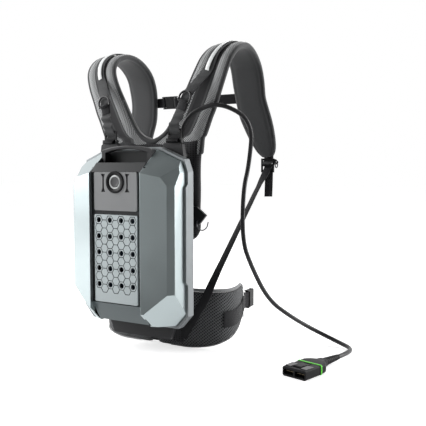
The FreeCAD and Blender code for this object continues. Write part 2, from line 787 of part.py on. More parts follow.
def make_strap():
    sections = []
    for index, (_, width, thickness) in enumerate(STRAP):
        side, up = station_axes(STRAP_SPOTS, index)
        sections.append(cushion_section(STRAP_SPOTS[index], side, up, width, thickness, 2.4))
    return Part.makeLoft(sections, True, False)


right_strap = shape_part("right_shoulder_strap", make_strap())
left_strap = mirror_part("left_shoulder_strap", right_strap)


def on_strap(index, lift, shift=0.0):
    """A spot above the strap's outer face, with its directions."""
    side, up = station_axes(STRAP_SPOTS, index)
    spot = STRAP_SPOTS[index] + up * (STRAP[index][2] / 2 + lift) + side * shift
    return spot, side, up


LIFTER_LOW, LIFTER_HIGH = (96, 97.4, 520), (117.5, 111, 585)
LIFTER = [((90, 103.8, 492.5), (0, -0.88, -0.47)), ((90.5, 100, 500), (0, -0.88, -0.47)),
          ((92, 96.4, 508), (0, -1, -0.1)),
          (LIFTER_LOW, (0, -0.98, 0.2)), (LIFTER_HIGH, (0, -0.98, 0.2)),
          ((128, 120, 603), (0, -0.92, 0.4)), ((140, 132, 622), (0, -0.93, 0.35))]
ADJUSTER = (196, 363, 428)
WEB_LIFT = 0.5
BEND_LIFT = 1.25


def spread(stations, gap):
    """Put even stations into the long runs between given ones. Each is a spot and an outward direction."""
    filled = [stations[0]]
    for (start, out_a), (end, out_b) in zip(stations, stations[1:]):
        start, end, out_a, out_b = V(*start), V(*end), V(*out_a), V(*out_b)
        count = max(1, round((end - start).Length / gap))
        for step in range(1, count + 1):
            share = step / count
            filled.append((tuple(start + (end - start) * share), tuple(out_a + (out_b - out_a) * share)))
    return filled


def webbing_loft(stations, width, thickness, ruled=False):
    """Flat webbing through stations, each a spot and the direction its outer face looks."""
    spots = [V(*spot) for spot, _ in stations]
    sections = []
    for index, (_, outward) in enumerate(stations):
        forward = (spots[min(index + 1, len(spots) - 1)] - spots[max(index - 1, 0)]).normalize()
        side = forward.cross(V(*outward)).normalize()
        up = side.cross(forward).normalize()
        sections.append(flat_section(spots[index], side, up, width, thickness))
    return Part.makeLoft(sections, True, ruled)


def make_strap_webbing():
    """One webbing from the frame's buckle, along the strap's outer face, to its lower end."""
    lift = WEB_LIFT + N.webbing_thickness / 2
    first, _, up = on_strap(7, lift + BEND_LIFT, -3)
    stations = spread(LIFTER + [(tuple(first), tuple(up))], 24)
    for index in range(8, len(STRAP) - 1):
        spot, _, up = on_strap(index, lift + BEND_LIFT, -2) if index == 8 else on_strap(index, lift)
        stations.append((tuple(spot), tuple(up)))
    x, y, z = ADJUSTER
    threaded = [stations[-1], ((196.6, y + 5.4, z + 20), (0, 0.98, -0.1)),
                ((196.2, y + 4.2, z + 14), (0, 0.9, -0.4)), ((196, y, z + 8.5), (0, 0.8, -0.6)),
                ((196, y - 3.8, z + 3.5), (0, 0.8, -0.6))]
    smooth = webbing_loft(stations, N.webbing_width, N.webbing_thickness)
    return smooth.fuse(webbing_loft(threaded, N.webbing_width, N.webbing_thickness, True))


right_strap_webbing = shape_part("right_strap_webbing", make_strap_webbing())
left_strap_webbing = mirror_part("left_strap_webbing", right_strap_webbing)


def make_reflectors():
    """A reflective strip down the middle of each strap's webbing, behind the shoulder."""
    sections = []
    lift = WEB_LIFT + N.webbing_thickness + 0.6 + 0.35
    for index, shift, more in ((7, -3, BEND_LIFT), (8, -2, BEND_LIFT), (9, 0, 0.5), (10, 0, 0), (11, 0, 0)):
        spot, side, up = on_strap(index, lift + more, shift)
        sections.append(flat_section(spot, side, up, 10, 0.7))
    strip = Part.makeLoft(sections, True, False)
    return both_sides(strip)


reflectors = shape_part("reflective_strips", make_reflectors())


def slotted_plate(width, bars, thickness, centre):
    """A flat buckle frame: side rails and cross bars with slots between them."""
    x, y, z = centre
    low, high = min(bar[0] for bar in bars), max(bar[1] for bar in bars)
    half = width / 2
    pieces = [box((x + side * half - 2, x + side * half + 2), (y - thickness / 2, y + thickness / 2),
                  (z + low, z + high))
              for side in (-1, 1)]
    for start, end in bars:
        pieces.append(box((x - half, x + half), (y - thickness / 2, y + thickness / 2),
                          (z + start, z + end)))
    return joined(pieces)


def make_ladder_lock():
    """A ladder lock: a slotted plate with the lip that is lifted to let the webbing slip."""
    bars = ((0, 6), (11, 16.5), (27.5, 32))
    x, y, z = 91, 100, N.frame_top
    lip = prism([(x - 13.5, y - 1.8, z + 12), (x - 13.5, y - 1.8, z + 5), (x - 13.5, y - 13, z + 0.6),
                 (x - 13.5, y - 15, z + 3.4)], (27, 0, 0))
    return slotted_plate(31, bars, 4, (x, y, z)).fuse(lip)


right_lock = shape_part("right_ladder_lock", make_ladder_lock())
left_lock = mirror_part("left_ladder_lock", right_lock)

RING_SHARE = 0.75
RING_UP = (V(*LIFTER_HIGH) - V(*LIFTER_LOW)).normalize()
RING_SIDE = (V(1, 0, 0) - RING_UP * RING_UP.x).normalize()
RING_OUT = RING_SIDE.cross(RING_UP).normalize()
RING_BAR = (V(*LIFTER_LOW) + (V(*LIFTER_HIGH) - V(*LIFTER_LOW)) * RING_SHARE
            + RING_OUT * (N.webbing_thickness / 2 + N.ring_wire + 1.8))


def make_d_ring():
    """A wire ring with one straight side, lying along the webbing."""
    reach, rise = N.ring_half_width, 24
    flat = [(-reach, 0), (-reach, rise * 0.62), (-reach * 0.42, rise), (reach * 0.42, rise),
            (reach, rise * 0.62), (reach, 0)]
    points = [RING_BAR + RING_SIDE * a + RING_UP * b for a, b in flat]
    bow = tube([tuple(p) for p in points], N.ring_wire, 0.42)[0]
    bar = rod(RING_BAR - RING_SIDE * reach, RING_BAR + RING_SIDE * reach, N.ring_wire - 0.2)
    knuckles = [Part.makeSphere(N.ring_wire, RING_BAR + RING_SIDE * (side * reach)) for side in (-1, 1)]
    return joined([bow, bar] + knuckles)


right_ring = shape_part("right_d_ring", make_d_ring())
left_ring = mirror_part("left_d_ring", right_ring)


def make_ring_loop():
    """A sewn loop on each side that holds the ring's straight bar against the webbing."""
    reach = 10.5
    radius = N.ring_wire - 0.1
    start = RING_BAR - RING_SIDE * reach
    end = RING_BAR + RING_SIDE * reach
    roll = rod(start, end, radius + 1.5).cut(rod(start - RING_SIDE, end + RING_SIDE, radius))
    base = RING_BAR - RING_OUT * (radius + 1.4)
    corners = [base + RING_SIDE * (a * reach) + RING_UP * b
               for a, b in ((-1, 1), (1, 1), (1, -20), (-1, -20))]
    tongue = prism([tuple(c) for c in corners], RING_OUT * 1.4)
    return both_sides(joined([roll, tongue.cut(rod(start - RING_SIDE, end + RING_SIDE, radius))]))


loops = shape_part("ring_loops", make_ring_loop())


def make_adjuster():
    """The buckle at the lower end of a strap, with an ear for its ring."""
    bars = ((-17, -11), (-2, 4), (13, 18))
    frame_shape = slotted_plate(31, bars, 4, ADJUSTER)
    x, y, z = ADJUSTER
    ear = prism([(x + 15, y - 1.5, z + 18), (x + 24, y - 1.5, z + 15), (x + 29, y - 1.5, z + 9),
                 (x + 27, y - 1.5, z + 3),
                 (x + 15, y - 1.5, z + 2)], (0, 3, 0))
    hole = rod((x + 24, y - 5, z + 9), (x + 24, y + 5, z + 9), 2.4)
    return joined([frame_shape, ear]).cut(hole)


right_adjuster = shape_part("right_strap_adjuster", make_adjuster())
left_adjuster = mirror_part("left_strap_adjuster", right_adjuster)


def make_end_ring():
    x, y, z = ADJUSTER
    return Part.makeTorus(7, 1.4, V(x + 24, y, z + 2), V(1, 0, 0))


right_end_ring = shape_part("right_end_ring", make_end_ring())
left_end_ring = mirror_part("left_end_ring", right_end_ring)

LOWER = [((196, 366.8, 426.5), (0, 0.8, -0.6)), ((196, 363, 421.5), (0, 0.8, -0.6)),
         ((195.8, 359.2, 416.5), (0, 0.78, -0.62)),
         ((188, 312, 363), (0, 0.78, -0.62)), ((166, 161, 184), (0, 0.78, -0.62)),
         ((158, 147, 155), (0, 0.95, -0.3)),
         ((146, 143.5, 125), (0, 1, 0)), ((112, 144, 72), (0, 1, 0)), ((94, 146, 46), (0, 1, 0)),
         ((86, 147.0, 34), (0, 1, 0)), ((80, 147.0, 25), (0, 1, 0))]


def make_lower_webbing():
    """The webbing from a strap's end down to the hip belt, without its free tail."""
    return webbing_loft(spread(LOWER, 22), N.tail_width, N.webbing_thickness)


def make_tail():
    x, y, z = ADJUSTER
    points = [(x, y + 3.8, z - 1.4), (x, y + 3.8, z + 3), (x, y + 8.8, z + 3), (x, y + 8.8, z - 12),
              (x, y + 5, z - 78)]
    return ribbon(points, (1, 0, 0), N.tail_width, N.webbing_thickness)


right_lower = shape_part("right_lower_webbing", make_lower_webbing().fuse(make_tail()))
left_lower = mirror_part("left_lower_webbing", right_lower)


# Forms shared by the buckles.
def turned_to(shape, origin, pull, across):
    """Set a shape drawn along X, with its width along Y, onto two directions."""
    pull, across = V(*pull).normalize(), V(*across).normalize()
    third = pull.cross(across)
    matrix = FreeCAD.Matrix(pull.x, across.x, third.x, origin[0], pull.y, across.y, third.y, origin[1],
                            pull.z, across.z, third.z, origin[2], 0, 0, 0, 1)
    moved = shape.copy()
    moved.transformShape(matrix, True)
    return moved


BAR_RADIUS = 2
BAR_ROOM = 9.5


def bar_end(web, half, depth):
    """Two cheeks and a round bar for the webbing, at the end where x is 0."""
    cheeks = [box((-1, BAR_ROOM + 1), sorted((side * half, side * (web / 2 + 0.7))), (-depth / 2, depth / 2))
              for side in (-1, 1)]
    return cheeks + [rod((2, -half + 1, 0), (2, half - 1, 0), BAR_RADIUS)]


def bevelled_block(start, end, half, depth):
    block = box((start, end), (-half, half), (-depth / 2, depth / 2))
    return block.makeChamfer(1.5, [e for e in block.Edges if abs(e.tangentAt(e.FirstParameter).x) > 0.99])


def make_socket(web, length, depth):
    """The socket half: a bar for the webbing, a mouth and two side windows."""
    half, wall = web / 2 + 4, 1.8
    body = joined([bevelled_block(BAR_ROOM, length, half, depth)] + bar_end(web, half, depth))
    mouth = box((BAR_ROOM + 2.5, length + 1), (3 - half, half - 3), (wall - depth / 2, depth / 2 - wall))
    window = box((length * 0.5, length * 0.5 + 9), (-half - 1, half + 1),
                 (wall - depth / 2, depth / 2 - wall))
    return body.cut(mouth).cut(window)


def make_prongs(web, length, depth, base):
    """The pronged half: a bar for the webbing, two prongs and a guide, drawn as it sits in the socket."""
    half, wall = web / 2 + 4, 1.8 + N.fit_gap
    tall = (wall - depth / 2, depth / 2 - wall)
    start = length + N.fit_gap
    tail = [piece.mirror(V(0, 0, 0), V(1, 0, 0)) for piece in bar_end(web, half, depth)]
    turned = FreeCAD.Matrix(1, 0, 0, start + base, 0, 1, 0, 0, 0, 0, 1, 0, 0, 0, 0, 1)
    pieces = [piece.transformGeometry(turned) for piece in tail]
    pieces.append(bevelled_block(start, start + base - BAR_ROOM, half, depth))
    pieces.append(box((BAR_ROOM + 4, start + 1), (-2, 2), tall))
    catch = length * 0.5 + N.fit_gap
    for side in (-1, 1):
        outer, inner = half - 3 - N.fit_gap, half - 6.5
        low, high = sorted((side * outer, side * inner))
        pieces.append(box((catch, start + 1), (low, high), tall))
        nose = [(catch, side * inner, tall[0]), (catch, side * outer, tall[0]),
                (catch + 5, side * (half - 0.6), tall[0]),
                (catch + 8, side * (half - 0.6), tall[0]), (catch + 8, side * inner, tall[0])]
        pieces.append(prism(nose, (0, 0, tall[1] - tall[0])))
    return joined(pieces)


def bar_loop(bar, pull, out, across, width, arrive):
    """Webbing that comes to a bar, turns round it and is sewn back on itself."""
    web = N.webbing_thickness
    near, far = web / 2 + 0.05, BAR_RADIUS + web / 2 + 0.4
    steps = [(-arrive, near), (-8, near), (-1, far), (far + 0.1, far), (far + 0.1, -far), (-1, -far),
             (-8, -near), (-18, -near)]
    points = [tuple(bar + pull * a + out * b) for a, b in steps]
    return ribbon(points, across, width, web)


# Back pad and hip belt.
def pad_section(level, reach, depth):
    """A cross-section of the back pad: flat in front, two crowned cushions behind."""
    front, side = N.pad_front, 0.35 * depth
    spots = [V(-reach + side, front, level), V(reach - side, front, level),
             V(reach - side, front + depth * 0.72, level), V(12, front + depth * 0.78, level),
             V(-12, front + depth * 0.78, level), V(-reach + side, front + depth * 0.72, level)]
    bows = [None, V(reach, front + depth * 0.36, level), V(reach * 0.55, front + depth, level),
            V(0, front + depth * 0.55, level), V(-reach * 0.55, front + depth, level),
            V(-reach, front + depth * 0.36, level)]
    return outline(spots, bows)


def make_back_pad():
    low, high, half, depth = N.pad_bottom, N.pad_top - 10.3, N.pad_half_width, N.pad_thickness + 2
    rows = [(low, half - 40, depth * 0.45), (low + 4, half - 22.6, depth * 0.65),
            (low + 12, half - 11.4, depth * 0.88),
            (low + 24, half - 3.3, depth), (low + 44, half, depth), (low + 120, half + 1, depth),
            (low + 200, half + 2, depth),
            (high - 22, half + 3, depth), (high - 8, half + 3.5, depth * 0.9),
            (high, half + 3.5, depth * 0.72)]
    solid = Part.makeLoft([pad_section(*row) for row in rows], True, False)
    for level in (low + 82, low + 164):
        channel = rod((-200, N.pad_front + depth + 9, level), (200, N.pad_front + depth + 9, level), 15)
        solid = solid.cut(channel)
    return solid


back_pad = shape_part("back_pad", make_back_pad())

# Each station is a spot on the belt's outer face in plan, with its top and bottom edge.
WING = [((90, 148), 134, 0.2), ((112, 151), 134, 1.4), ((130, 155.5), 134, 3.4), ((154, 165), 134, 8),
        ((170, 182), 133.5, 14),
        ((178, 206), 132, 20), ((177, 234), 131, 28), ((170, 263), 129.5, 35), ((160, 292), 128, 42),
        ((150, 318), 126, 50),
        ((144, 333), 121, 60), ((140.5, 341), 112, 72)]


def wing_axes(index):
    """Outward direction of the belt in plan at one station."""
    spots = [V(x, y, 0) for (x, y), _, _ in WING]
    if index == 0:
        return V(0, -1, 0)
    forward = (spots[min(index + 1, len(spots) - 1)] - spots[index - 1]).normalize()
    return forward.cross(V(0, 0, 1)).normalize()


def wing_depth(index):
    return N.belt_thickness * (0.55 if index == len(WING) - 1 else 0.85 if index == len(WING) - 2 else 1)


def make_wing():
    sections = []
    for index, ((x, y), high, low) in enumerate(WING):
        out = wing_axes(index)
        depth = wing_depth(index)
        centre = V(x, y, (high + low) / 2) - out * (depth / 2)
        sections.append(cushion_section(centre, V(0, 0, 1), out, high - low, depth, 2.2))
    return Part.makeLoft(sections, True, False)


right_wing = shape_part("right_belt_wing", make_wing())
left_wing = mirror_part("left_belt_wing", right_wing)


def make_lumbar():
    """The middle of the hip belt, with upright channels on the wearer's side."""
    high, low = WING[0][1], WING[0][2]
    reach, depth = WING[0][0][0] - 0.05, N.belt_thickness
    sections = []
    for x, more in ((-reach, 0), (-reach * 0.8, 4), (-reach * 0.4, 8), (reach * 0.4, 8), (reach * 0.8, 4),
                    (reach, 0)):
        thick = depth + more
        centre = V(x, WING[0][0][1] + thick / 2, (high + low) / 2)
        sections.append(cushion_section(centre, V(0, 0, 1), V(0, -1, 0), high - low, thick, 2.2))
    solid = Part.makeLoft(sections, True, False)
    for x in (-34, 0, 34):
        solid = solid.cut(rod((x, 148 + depth + 15, -10), (x, 148 + depth + 15, 200), 11))
    return solid


lumbar = shape_part("lumbar_pad", make_lumbar())


def make_binding():
    """A rolled binding along the top edge of each wing."""
    radius = 3.4
    sections = []
    spots = []
    for index, ((x, y), high, _) in enumerate(WING[:-1]):
        out = wing_axes(index)
        spots.append(V(x, y, high + radius + 0.5) - out * (wing_depth(index) / 2))
    for index, spot in enumerate(spots):
        forward = spots[min(index + 1, len(spots) - 1)] - spots[max(index - 1, 0)]
        sections.append(Part.Wire([Part.makeCircle(radius, spot, forward)]))
    return both_sides(Part.makeLoft(sections, True, False))


bindings = shape_part("belt_bindings", make_binding())

BELT_WEB = 38
BELT_LIFT = 1.6
BAND_HEIGHTS = {4: 60, 5: 60, 6: 61, 7: 63, 8: 66, 9: 72, 10: 79}
HIP_PULL = V(-0.1, 0.995, 0).normalize()
HIP_SIDE = V(HIP_PULL.y, -HIP_PULL.x, 0)
HIP_BAR = V(140.5, 359.4, 84)
HIP_ARRIVE = 17


def make_belt_webbing():
    """The webbing on a wing's outer face and its loop round the buckle's bar."""
    web = N.webbing_thickness
    stations = []
    for index, level in BAND_HEIGHTS.items():
        (x, y), _, _ = WING[index]
        out = wing_axes(index)
        stations.append((tuple(V(x, y, level) + out * (BELT_LIFT + web / 2)), tuple(out)))
    near = web / 2 + 0.05
    for reach in (HIP_ARRIVE, HIP_ARRIVE - 3):
        spot = HIP_BAR - HIP_PULL * reach + HIP_SIDE * near
        stations.append((tuple(spot), tuple(HIP_SIDE)))
    spots = [V(*spot) for spot, _ in stations]
    sections = [flat_section(spot, V(0, 0, 1), V(*out).normalize(), BELT_WEB, web) for spot,
                (_, out) in zip(spots, stations)]
    return Part.makeLoft(sections, True, False).fuse(
        bar_loop(HIP_BAR, HIP_PULL, HIP_SIDE, (0, 0, 1), BELT_WEB, HIP_ARRIVE - 3))


right_belt_webbing = shape_part("right_belt_webbing", make_belt_webbing())
left_belt_webbing = mirror_part("left_belt_webbing", right_belt_webbing)


def make_keepers():
    """A stitched keeper over the belt webbing on each wing."""
    (x, y), _, _ = WING[8]
    out = wing_axes(8)
    across = V(0, 0, 1)
    spot = V(x, y, BAND_HEIGHTS[8]) + out * (BELT_LIFT + N.webbing_thickness + 0.7 + 0.6)
    forward = across.cross(out).normalize()
    strip = flat_section(spot - forward * 3, across, out, BELT_WEB + 10, 1.2)
    keeper = Part.Face(strip).extrude(forward * 6)
    return both_sides(keeper)


keepers = shape_part("belt_keepers", make_keepers())


# Buckles.
CHEST_LEVEL = V(-63, 344.6, 597)
CHEST_SIDE = V(0, 0.2, -0.98).normalize()
CHEST_OUT = V(1, 0, 0).cross(CHEST_SIDE).normalize()
CHEST_SOCKET, CHEST_BASE = 27, 15
CHEST_PULL = V(-1, 0, 0)
chest_female = shape_part("chest_buckle_female",
                          turned_to(make_socket(25, CHEST_SOCKET, 9), CHEST_LEVEL, CHEST_PULL, CHEST_SIDE))
chest_male = shape_part("chest_buckle_male",
                        turned_to(make_prongs(25, CHEST_SOCKET, 9, CHEST_BASE), CHEST_LEVEL, CHEST_PULL,
                                  CHEST_SIDE))
chest_end = CHEST_SOCKET + N.fit_gap + CHEST_BASE
right_chest = shape_part("right_chest_webbing", bar_loop(
    CHEST_LEVEL + CHEST_PULL * 2, CHEST_PULL, CHEST_OUT, CHEST_SIDE, N.webbing_width, 176 + 65))
left_chest = shape_part("left_chest_webbing", bar_loop(
    CHEST_LEVEL + CHEST_PULL * (chest_end - 2), CHEST_PULL * -1, CHEST_OUT, CHEST_SIDE, N.webbing_width,
    176 - 61 - chest_end))

HIP_SOCKET, HIP_BASE = 36, 18
hip_female = shape_part("hip_buckle_female",
                        turned_to(make_socket(BELT_WEB, HIP_SOCKET, 12), HIP_BAR - HIP_PULL * 2, HIP_PULL,
                                  (0, 0, 1)))
left_pull = V(HIP_PULL.x, -HIP_PULL.y, 0)
left_origin = V(-HIP_BAR.x, HIP_BAR.y, HIP_BAR.z) - left_pull * (HIP_SOCKET + N.fit_gap + HIP_BASE - 2)
hip_male = shape_part("hip_buckle_male",
                      turned_to(make_prongs(BELT_WEB, HIP_SOCKET, 12, HIP_BASE), left_origin, left_pull,
                                (0, 0, 1)))

# Output cord and plug.
CORD = [(97, 118, RELIEF_TOP), (97, 118, 504.5), (104.8, 121.3, 527), (128, 128.6, 551),
        (190.3, 131.3, 566.4),
        (244.6, 183.3, 526.7), (226.4, 199.7, 426.8), (230.7, 163.7, 374.9), (237.3, 146.9, 263.9),
        (247.5, 166.6, 207.4),
        (267.4, 218.4, 119.7), (306.7, 260.6, 76.2), (332.2, 331.8, 35), (388.7, 347.2, 9),
        (436.8, 315.1, 5.3),
        (442.4, 254.6, 10), (434.62, 222.52, 10)]
cord_solid, cord_length, cord_bend = tube(CORD, N.cord_diameter / 2)
cord = shape_part("power_cable", cord_solid)
print(f"cord: length {cord_length:.0f}, tightest bend {cord_bend:.1f}, "
      f"volume ratio {cord_solid.Volume / (math.pi * (N.cord_diameter / 2) ** 2 * cord_length):.4f}")

PLUG_SPOT = (397, 67)
PLUG_TURN = -13.6
HEAD_END, SEAL_END, BODY_END, RELIEF_END = 52, 56, 105, 160


def plug_body_at(name):
    body = new_body(name, PLUG_SPOT[0], PLUG_SPOT[1], 0)
    body.Placement.Rotation = FreeCAD.Rotation(V(0, 0, 1), PLUG_TURN)
    place(body, PLUG_SPOT[0], PLUG_SPOT[1], 0)
    return body


def plug_shape_at(name, shape):
    thing = shape_part(name, shape)
    thing.Placement.Rotation = FreeCAD.Rotation(V(0, 0, 1), PLUG_TURN)
    place(thing, PLUG_SPOT[0], PLUG_SPOT[1], 0)
    return thing


plug_half = S.plug_width / 2
head = plug_body_at("plug_head")
head_block = pad(head, rectangle(head, "XZ_Plane", (-plug_half, 0), (plug_half, S.plug_height)), HEAD_END)
soften(head, head_block, 2.5, along(V(0, 1, 0)), "PartDesign::Chamfer")
for side in (-1, 1):
    low, high = sorted((side * 2, side * 26))
    pocket(head, rectangle(head, "XZ_Plane", (low, 4), (high, S.plug_height - 5), -1), 24)
    low, high = sorted((side * 12, side * 26))
    pad(head, rectangle(head, "XY_Plane", (low, 6), (high, 30), S.plug_height - 0.2), 1.8)
pocket(head, rectangle(head, "XY_Plane", (-9.5, 8), (9.5, 49), S.plug_height - 4.4), 8)
pin_hole = circles(head, "YZ_Plane", [(45, S.plug_height - 2)], 1.56, -12)
pocket(head, pin_hole, 24)

latch = plug_body_at("plug_latch")
pad(latch, polygon(latch, "YZ_Plane", [
    (10, S.plug_height - 1.6), (10, S.plug_height + 1.4), (13, S.plug_height + 2.8),
    (27, S.plug_height + 2.2),
    (42, S.plug_height + 0.6), (47.5, S.plug_height - 0.6), (47.5, S.plug_height - 3.4),
    (42, S.plug_height - 3.4),
    (30, S.plug_height - 1.6)], -9), 18)
pad(latch, circles(latch, "YZ_Plane", [(45, S.plug_height - 2)], 1.5, -11.6), 23.2)

contacts = [box((x - 5, x + 5), (6, 26), (9.4, 10.6)) for x in (-20, -8, 8, 20)]
plug_contacts = plug_shape_at("plug_contacts", Part.makeCompound(contacts))
for x in (-20, -8, 8, 20):
    pocket(head, rectangle(head, "XZ_Plane", (x - 5, 9.4), (x + 5, 10.6), 22), 4)

seal = plug_body_at("plug_seal_ring")
seal_block = pad(seal, rectangle(seal, "XZ_Plane", (-plug_half - 1, 0), (plug_half + 1, S.plug_height + 1),
                                 HEAD_END),
                 SEAL_END - HEAD_END)
soften(seal, seal_block, 3, along(V(0, 1, 0)))


def make_plug_body():
    """The plug's grip, narrowing from the seal to the strain relief."""
    rows = [(SEAL_END, 29.5, 0.2, 20.8), (SEAL_END + 14, 29, 0.2, 21), (SEAL_END + 26, 22, 0.6, 20.5),
            (BODY_END - 12, 13, 1.2, 19), (BODY_END, 11, 1.4, 18.6)]
    sections = []
    for y, half, low, high in rows:
        cut = 4
        corners = [(-half, low + cut), (-half + cut, low), (half - cut, low), (half, low + cut),
                   (half, high - cut), (half - cut, high), (-half + cut, high), (-half, high - cut)]
        spots = [V(x, y, z) for x, z in corners]
        sections.append(outline(spots, [None] * 8))
    return Part.makeLoft(sections, True, True)


plug_body = plug_shape_at("plug_body", make_plug_body())

relief = plug_body_at("plug_strain_relief")
profile = [(0, BODY_END), (9, BODY_END), (9, BODY_END + 5)]
for step in range(6):
    start = BODY_END + 8 + step * 7
    wide = 8.6 - step * 0.4
    profile += [(wide - 1.2, start - 2), (wide, start - 1.2), (wide, start + 3.4), (wide - 1.4, start + 4.2)]
profile += [(5.9, RELIEF_END - 3), (5.6, RELIEF_END), (0, RELIEF_END)]
revolve(relief, polygon(relief, "XY_Plane", [(x, y) for x, y in profile], 10), "V_Axis")

# Check and write.
doc.recompute()
problems = []
for thing in doc.Objects:
    if any(word in thing.State for word in ("Invalid", "Error")):
        problems.append(f"{thing.Label}: {thing.State}")
for thing in sub_parts:
    if thing.Shape.isNull() or not thing.Shape.isValid() or not thing.Shape.Solids:
        problems.append(f"{thing.Label}: bad shape")
assert not problems, problems
os.makedirs("parts", exist_ok=True)
for thing in sub_parts:
    thing.Shape.exportStep(f"parts/{thing.Label}.step")
    b = thing.Shape.optimalBoundingBox(False, False)
    print(f"{thing.Label}: {len(thing.Shape.Solids)} solid, volume {thing.Shape.Volume / 1000:.1f} cm3, "
          f"X {b.XMin:.1f} {b.XMax:.1f} Y {b.YMin:.1f} {b.YMax:.1f} Z {b.ZMin:.1f} {b.ZMax:.1f}")
CORD_NODES = ("power_cable", "plug_strain_relief", "plug_body", "plug_seal_ring", "plug_head",
              "plug_latch", "plug_contacts")
whole = FreeCAD.BoundBox()
for thing in sub_parts:
    if thing.Label not in CORD_NODES:
        whole.add(thing.Shape.optimalBoundingBox(False, False))
print(f"{len(sub_parts)} sub-parts, without the cord X {whole.XMin:.2f} {whole.XMax:.2f} "
      f"Y {whole.YMin:.2f} {whole.YMax:.2f} Z {whole.ZMin:.2f} {whole.ZMax:.2f}")
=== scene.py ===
import math

import bmesh
import bpy
from mathutils import Matrix, Vector


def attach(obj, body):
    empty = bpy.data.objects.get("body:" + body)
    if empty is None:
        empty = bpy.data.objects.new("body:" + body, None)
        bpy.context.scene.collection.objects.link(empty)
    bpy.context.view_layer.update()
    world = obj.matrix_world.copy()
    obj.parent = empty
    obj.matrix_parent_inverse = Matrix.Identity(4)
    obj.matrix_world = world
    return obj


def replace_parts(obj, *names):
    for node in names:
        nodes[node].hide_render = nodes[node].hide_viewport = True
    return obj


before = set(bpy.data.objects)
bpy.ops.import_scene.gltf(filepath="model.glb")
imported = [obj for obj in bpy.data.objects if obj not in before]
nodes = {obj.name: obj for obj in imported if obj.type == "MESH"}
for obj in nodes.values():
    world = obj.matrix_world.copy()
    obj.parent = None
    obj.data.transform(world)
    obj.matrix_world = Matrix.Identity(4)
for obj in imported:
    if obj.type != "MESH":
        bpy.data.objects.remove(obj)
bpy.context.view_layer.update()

# Backpack battery power pack: materials, soft goods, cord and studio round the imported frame.
# Places are written in millimetres as in the part's source, with Y from the grille's face.

MM = 0.001
FRONT_Y = -196.7
PACK = "pack"
X_AXIS = Vector((1, 0, 0))
Z_AXIS = Vector((0, 0, 1))
FRONT = Vector((0, -1, 0))
scene = bpy.context.scene


def at(x, y, z):
    """A drawn place in millimetres as a place in the row frame, in metres."""
    return Vector((x, y + FRONT_Y, z)) * MM


# Camera, worked out from the housing's straight edges in the photograph.
VIEW_TARGET = at(247.9, 0, 331.8)
VIEW_AZIMUTH = math.radians(30.134)
VIEW_ELEVATION = math.radians(3.884)
VIEW_DISTANCE = 1.3006
PHOTO_SIDE = 426
FOCAL_PIXELS = 650
SENSOR_WIDTH = 36


def make_camera():
    data = bpy.data.cameras.new("photo_camera")
    data.sensor_width = SENSOR_WIDTH
    data.lens = FOCAL_PIXELS / PHOTO_SIDE * SENSOR_WIDTH
    data.clip_start, data.clip_end = 0.05, 50
    camera = bpy.data.objects.new("photo_camera", data)
    scene.collection.objects.link(camera)
    level = math.cos(VIEW_ELEVATION)
    back = Vector((math.sin(VIEW_AZIMUTH) * level, -math.cos(VIEW_AZIMUTH) * level,
                   math.sin(VIEW_ELEVATION)))
    camera.location = VIEW_TARGET + back * VIEW_DISTANCE
    camera.rotation_mode = "QUATERNION"
    camera.rotation_quaternion = (-back).to_track_quat("-Z", "Y")
    scene.camera = camera


make_camera()


# Material building blocks. Noise scales count cycles per metre, and depths, pitches and edges are in metres.
def new_material(name):
    material = bpy.data.materials.new(name)
    material.use_nodes = True
    return material, material.node_tree, material.node_tree.nodes["Principled BSDF"]


def link(tree, start, out, end, into):
    tree.links.new(start.outputs[out], end.inputs[into])


def add_node(tree, kind, **values):
    made = tree.nodes.new(kind)
    for key, value in values.items():
        setattr(made, key, value)
    return made


def place_source(tree, scale, kind="Object"):
    """Object or UV coordinates times a scale, for patterns in real sizes."""
    source = add_node(tree, "ShaderNodeTexCoord")
    mapping = add_node(tree, "ShaderNodeMapping")
    mapping.inputs["Scale"].default_value = scale if isinstance(scale, tuple) else (scale, scale, scale)
    link(tree, source, kind, mapping, "Vector")
    return mapping


def noise_at(tree, scale, detail):
    mapping = place_source(tree, scale)
    noise = add_node(tree, "ShaderNodeTexNoise")
    noise.inputs["Scale"].default_value = 1
    noise.inputs["Detail"].default_value = detail
    link(tree, mapping, "Vector", noise, "Vector")
    return noise


def shade_between(tree, bsdf, factor, out, dark, light):
    """Base colour between two shades, following a factor."""
    mix = add_node(tree, "ShaderNodeMix", data_type="RGBA")
    mix.inputs[6].default_value = (*dark, 1)
    mix.inputs[7].default_value = (*light, 1)
    tree.links.new(factor.outputs[out], mix.inputs[0])
    tree.links.new(mix.outputs[2], bsdf.inputs["Base Color"])


def vary_roughness(tree, bsdf, factor, out, low, high):
    spread = add_node(tree, "ShaderNodeMapRange")
    spread.inputs["To Min"].default_value = low
    spread.inputs["To Max"].default_value = high
    tree.links.new(factor.outputs[out], spread.inputs["Value"])
    link(tree, spread, "Result", bsdf, "Roughness")


def raise_surface(tree, bsdf, factor, out, strength, depth):
    """Bump from a factor, on top of softly rounded edges."""
    bump = add_node(tree, "ShaderNodeBump")
    bump.inputs["Strength"].default_value = strength
    bump.inputs["Distance"].default_value = depth
    tree.links.new(factor.outputs[out], bump.inputs["Height"])
    link(tree, bump, "Normal", bsdf, "Normal")
    return bump


def round_edges(tree, bump, radius):
    edge = add_node(tree, "ShaderNodeBevel", samples=6)
    edge.inputs["Radius"].default_value = radius
    link(tree, edge, "Normal", bump, "Normal")


def tint(color, amount):
    return tuple(min(1.0, channel * amount) for channel in color)


CLOUD_SCALE, GRAIN_SCALE, GRAIN_DEPTH = 22, 1100, 0.0001


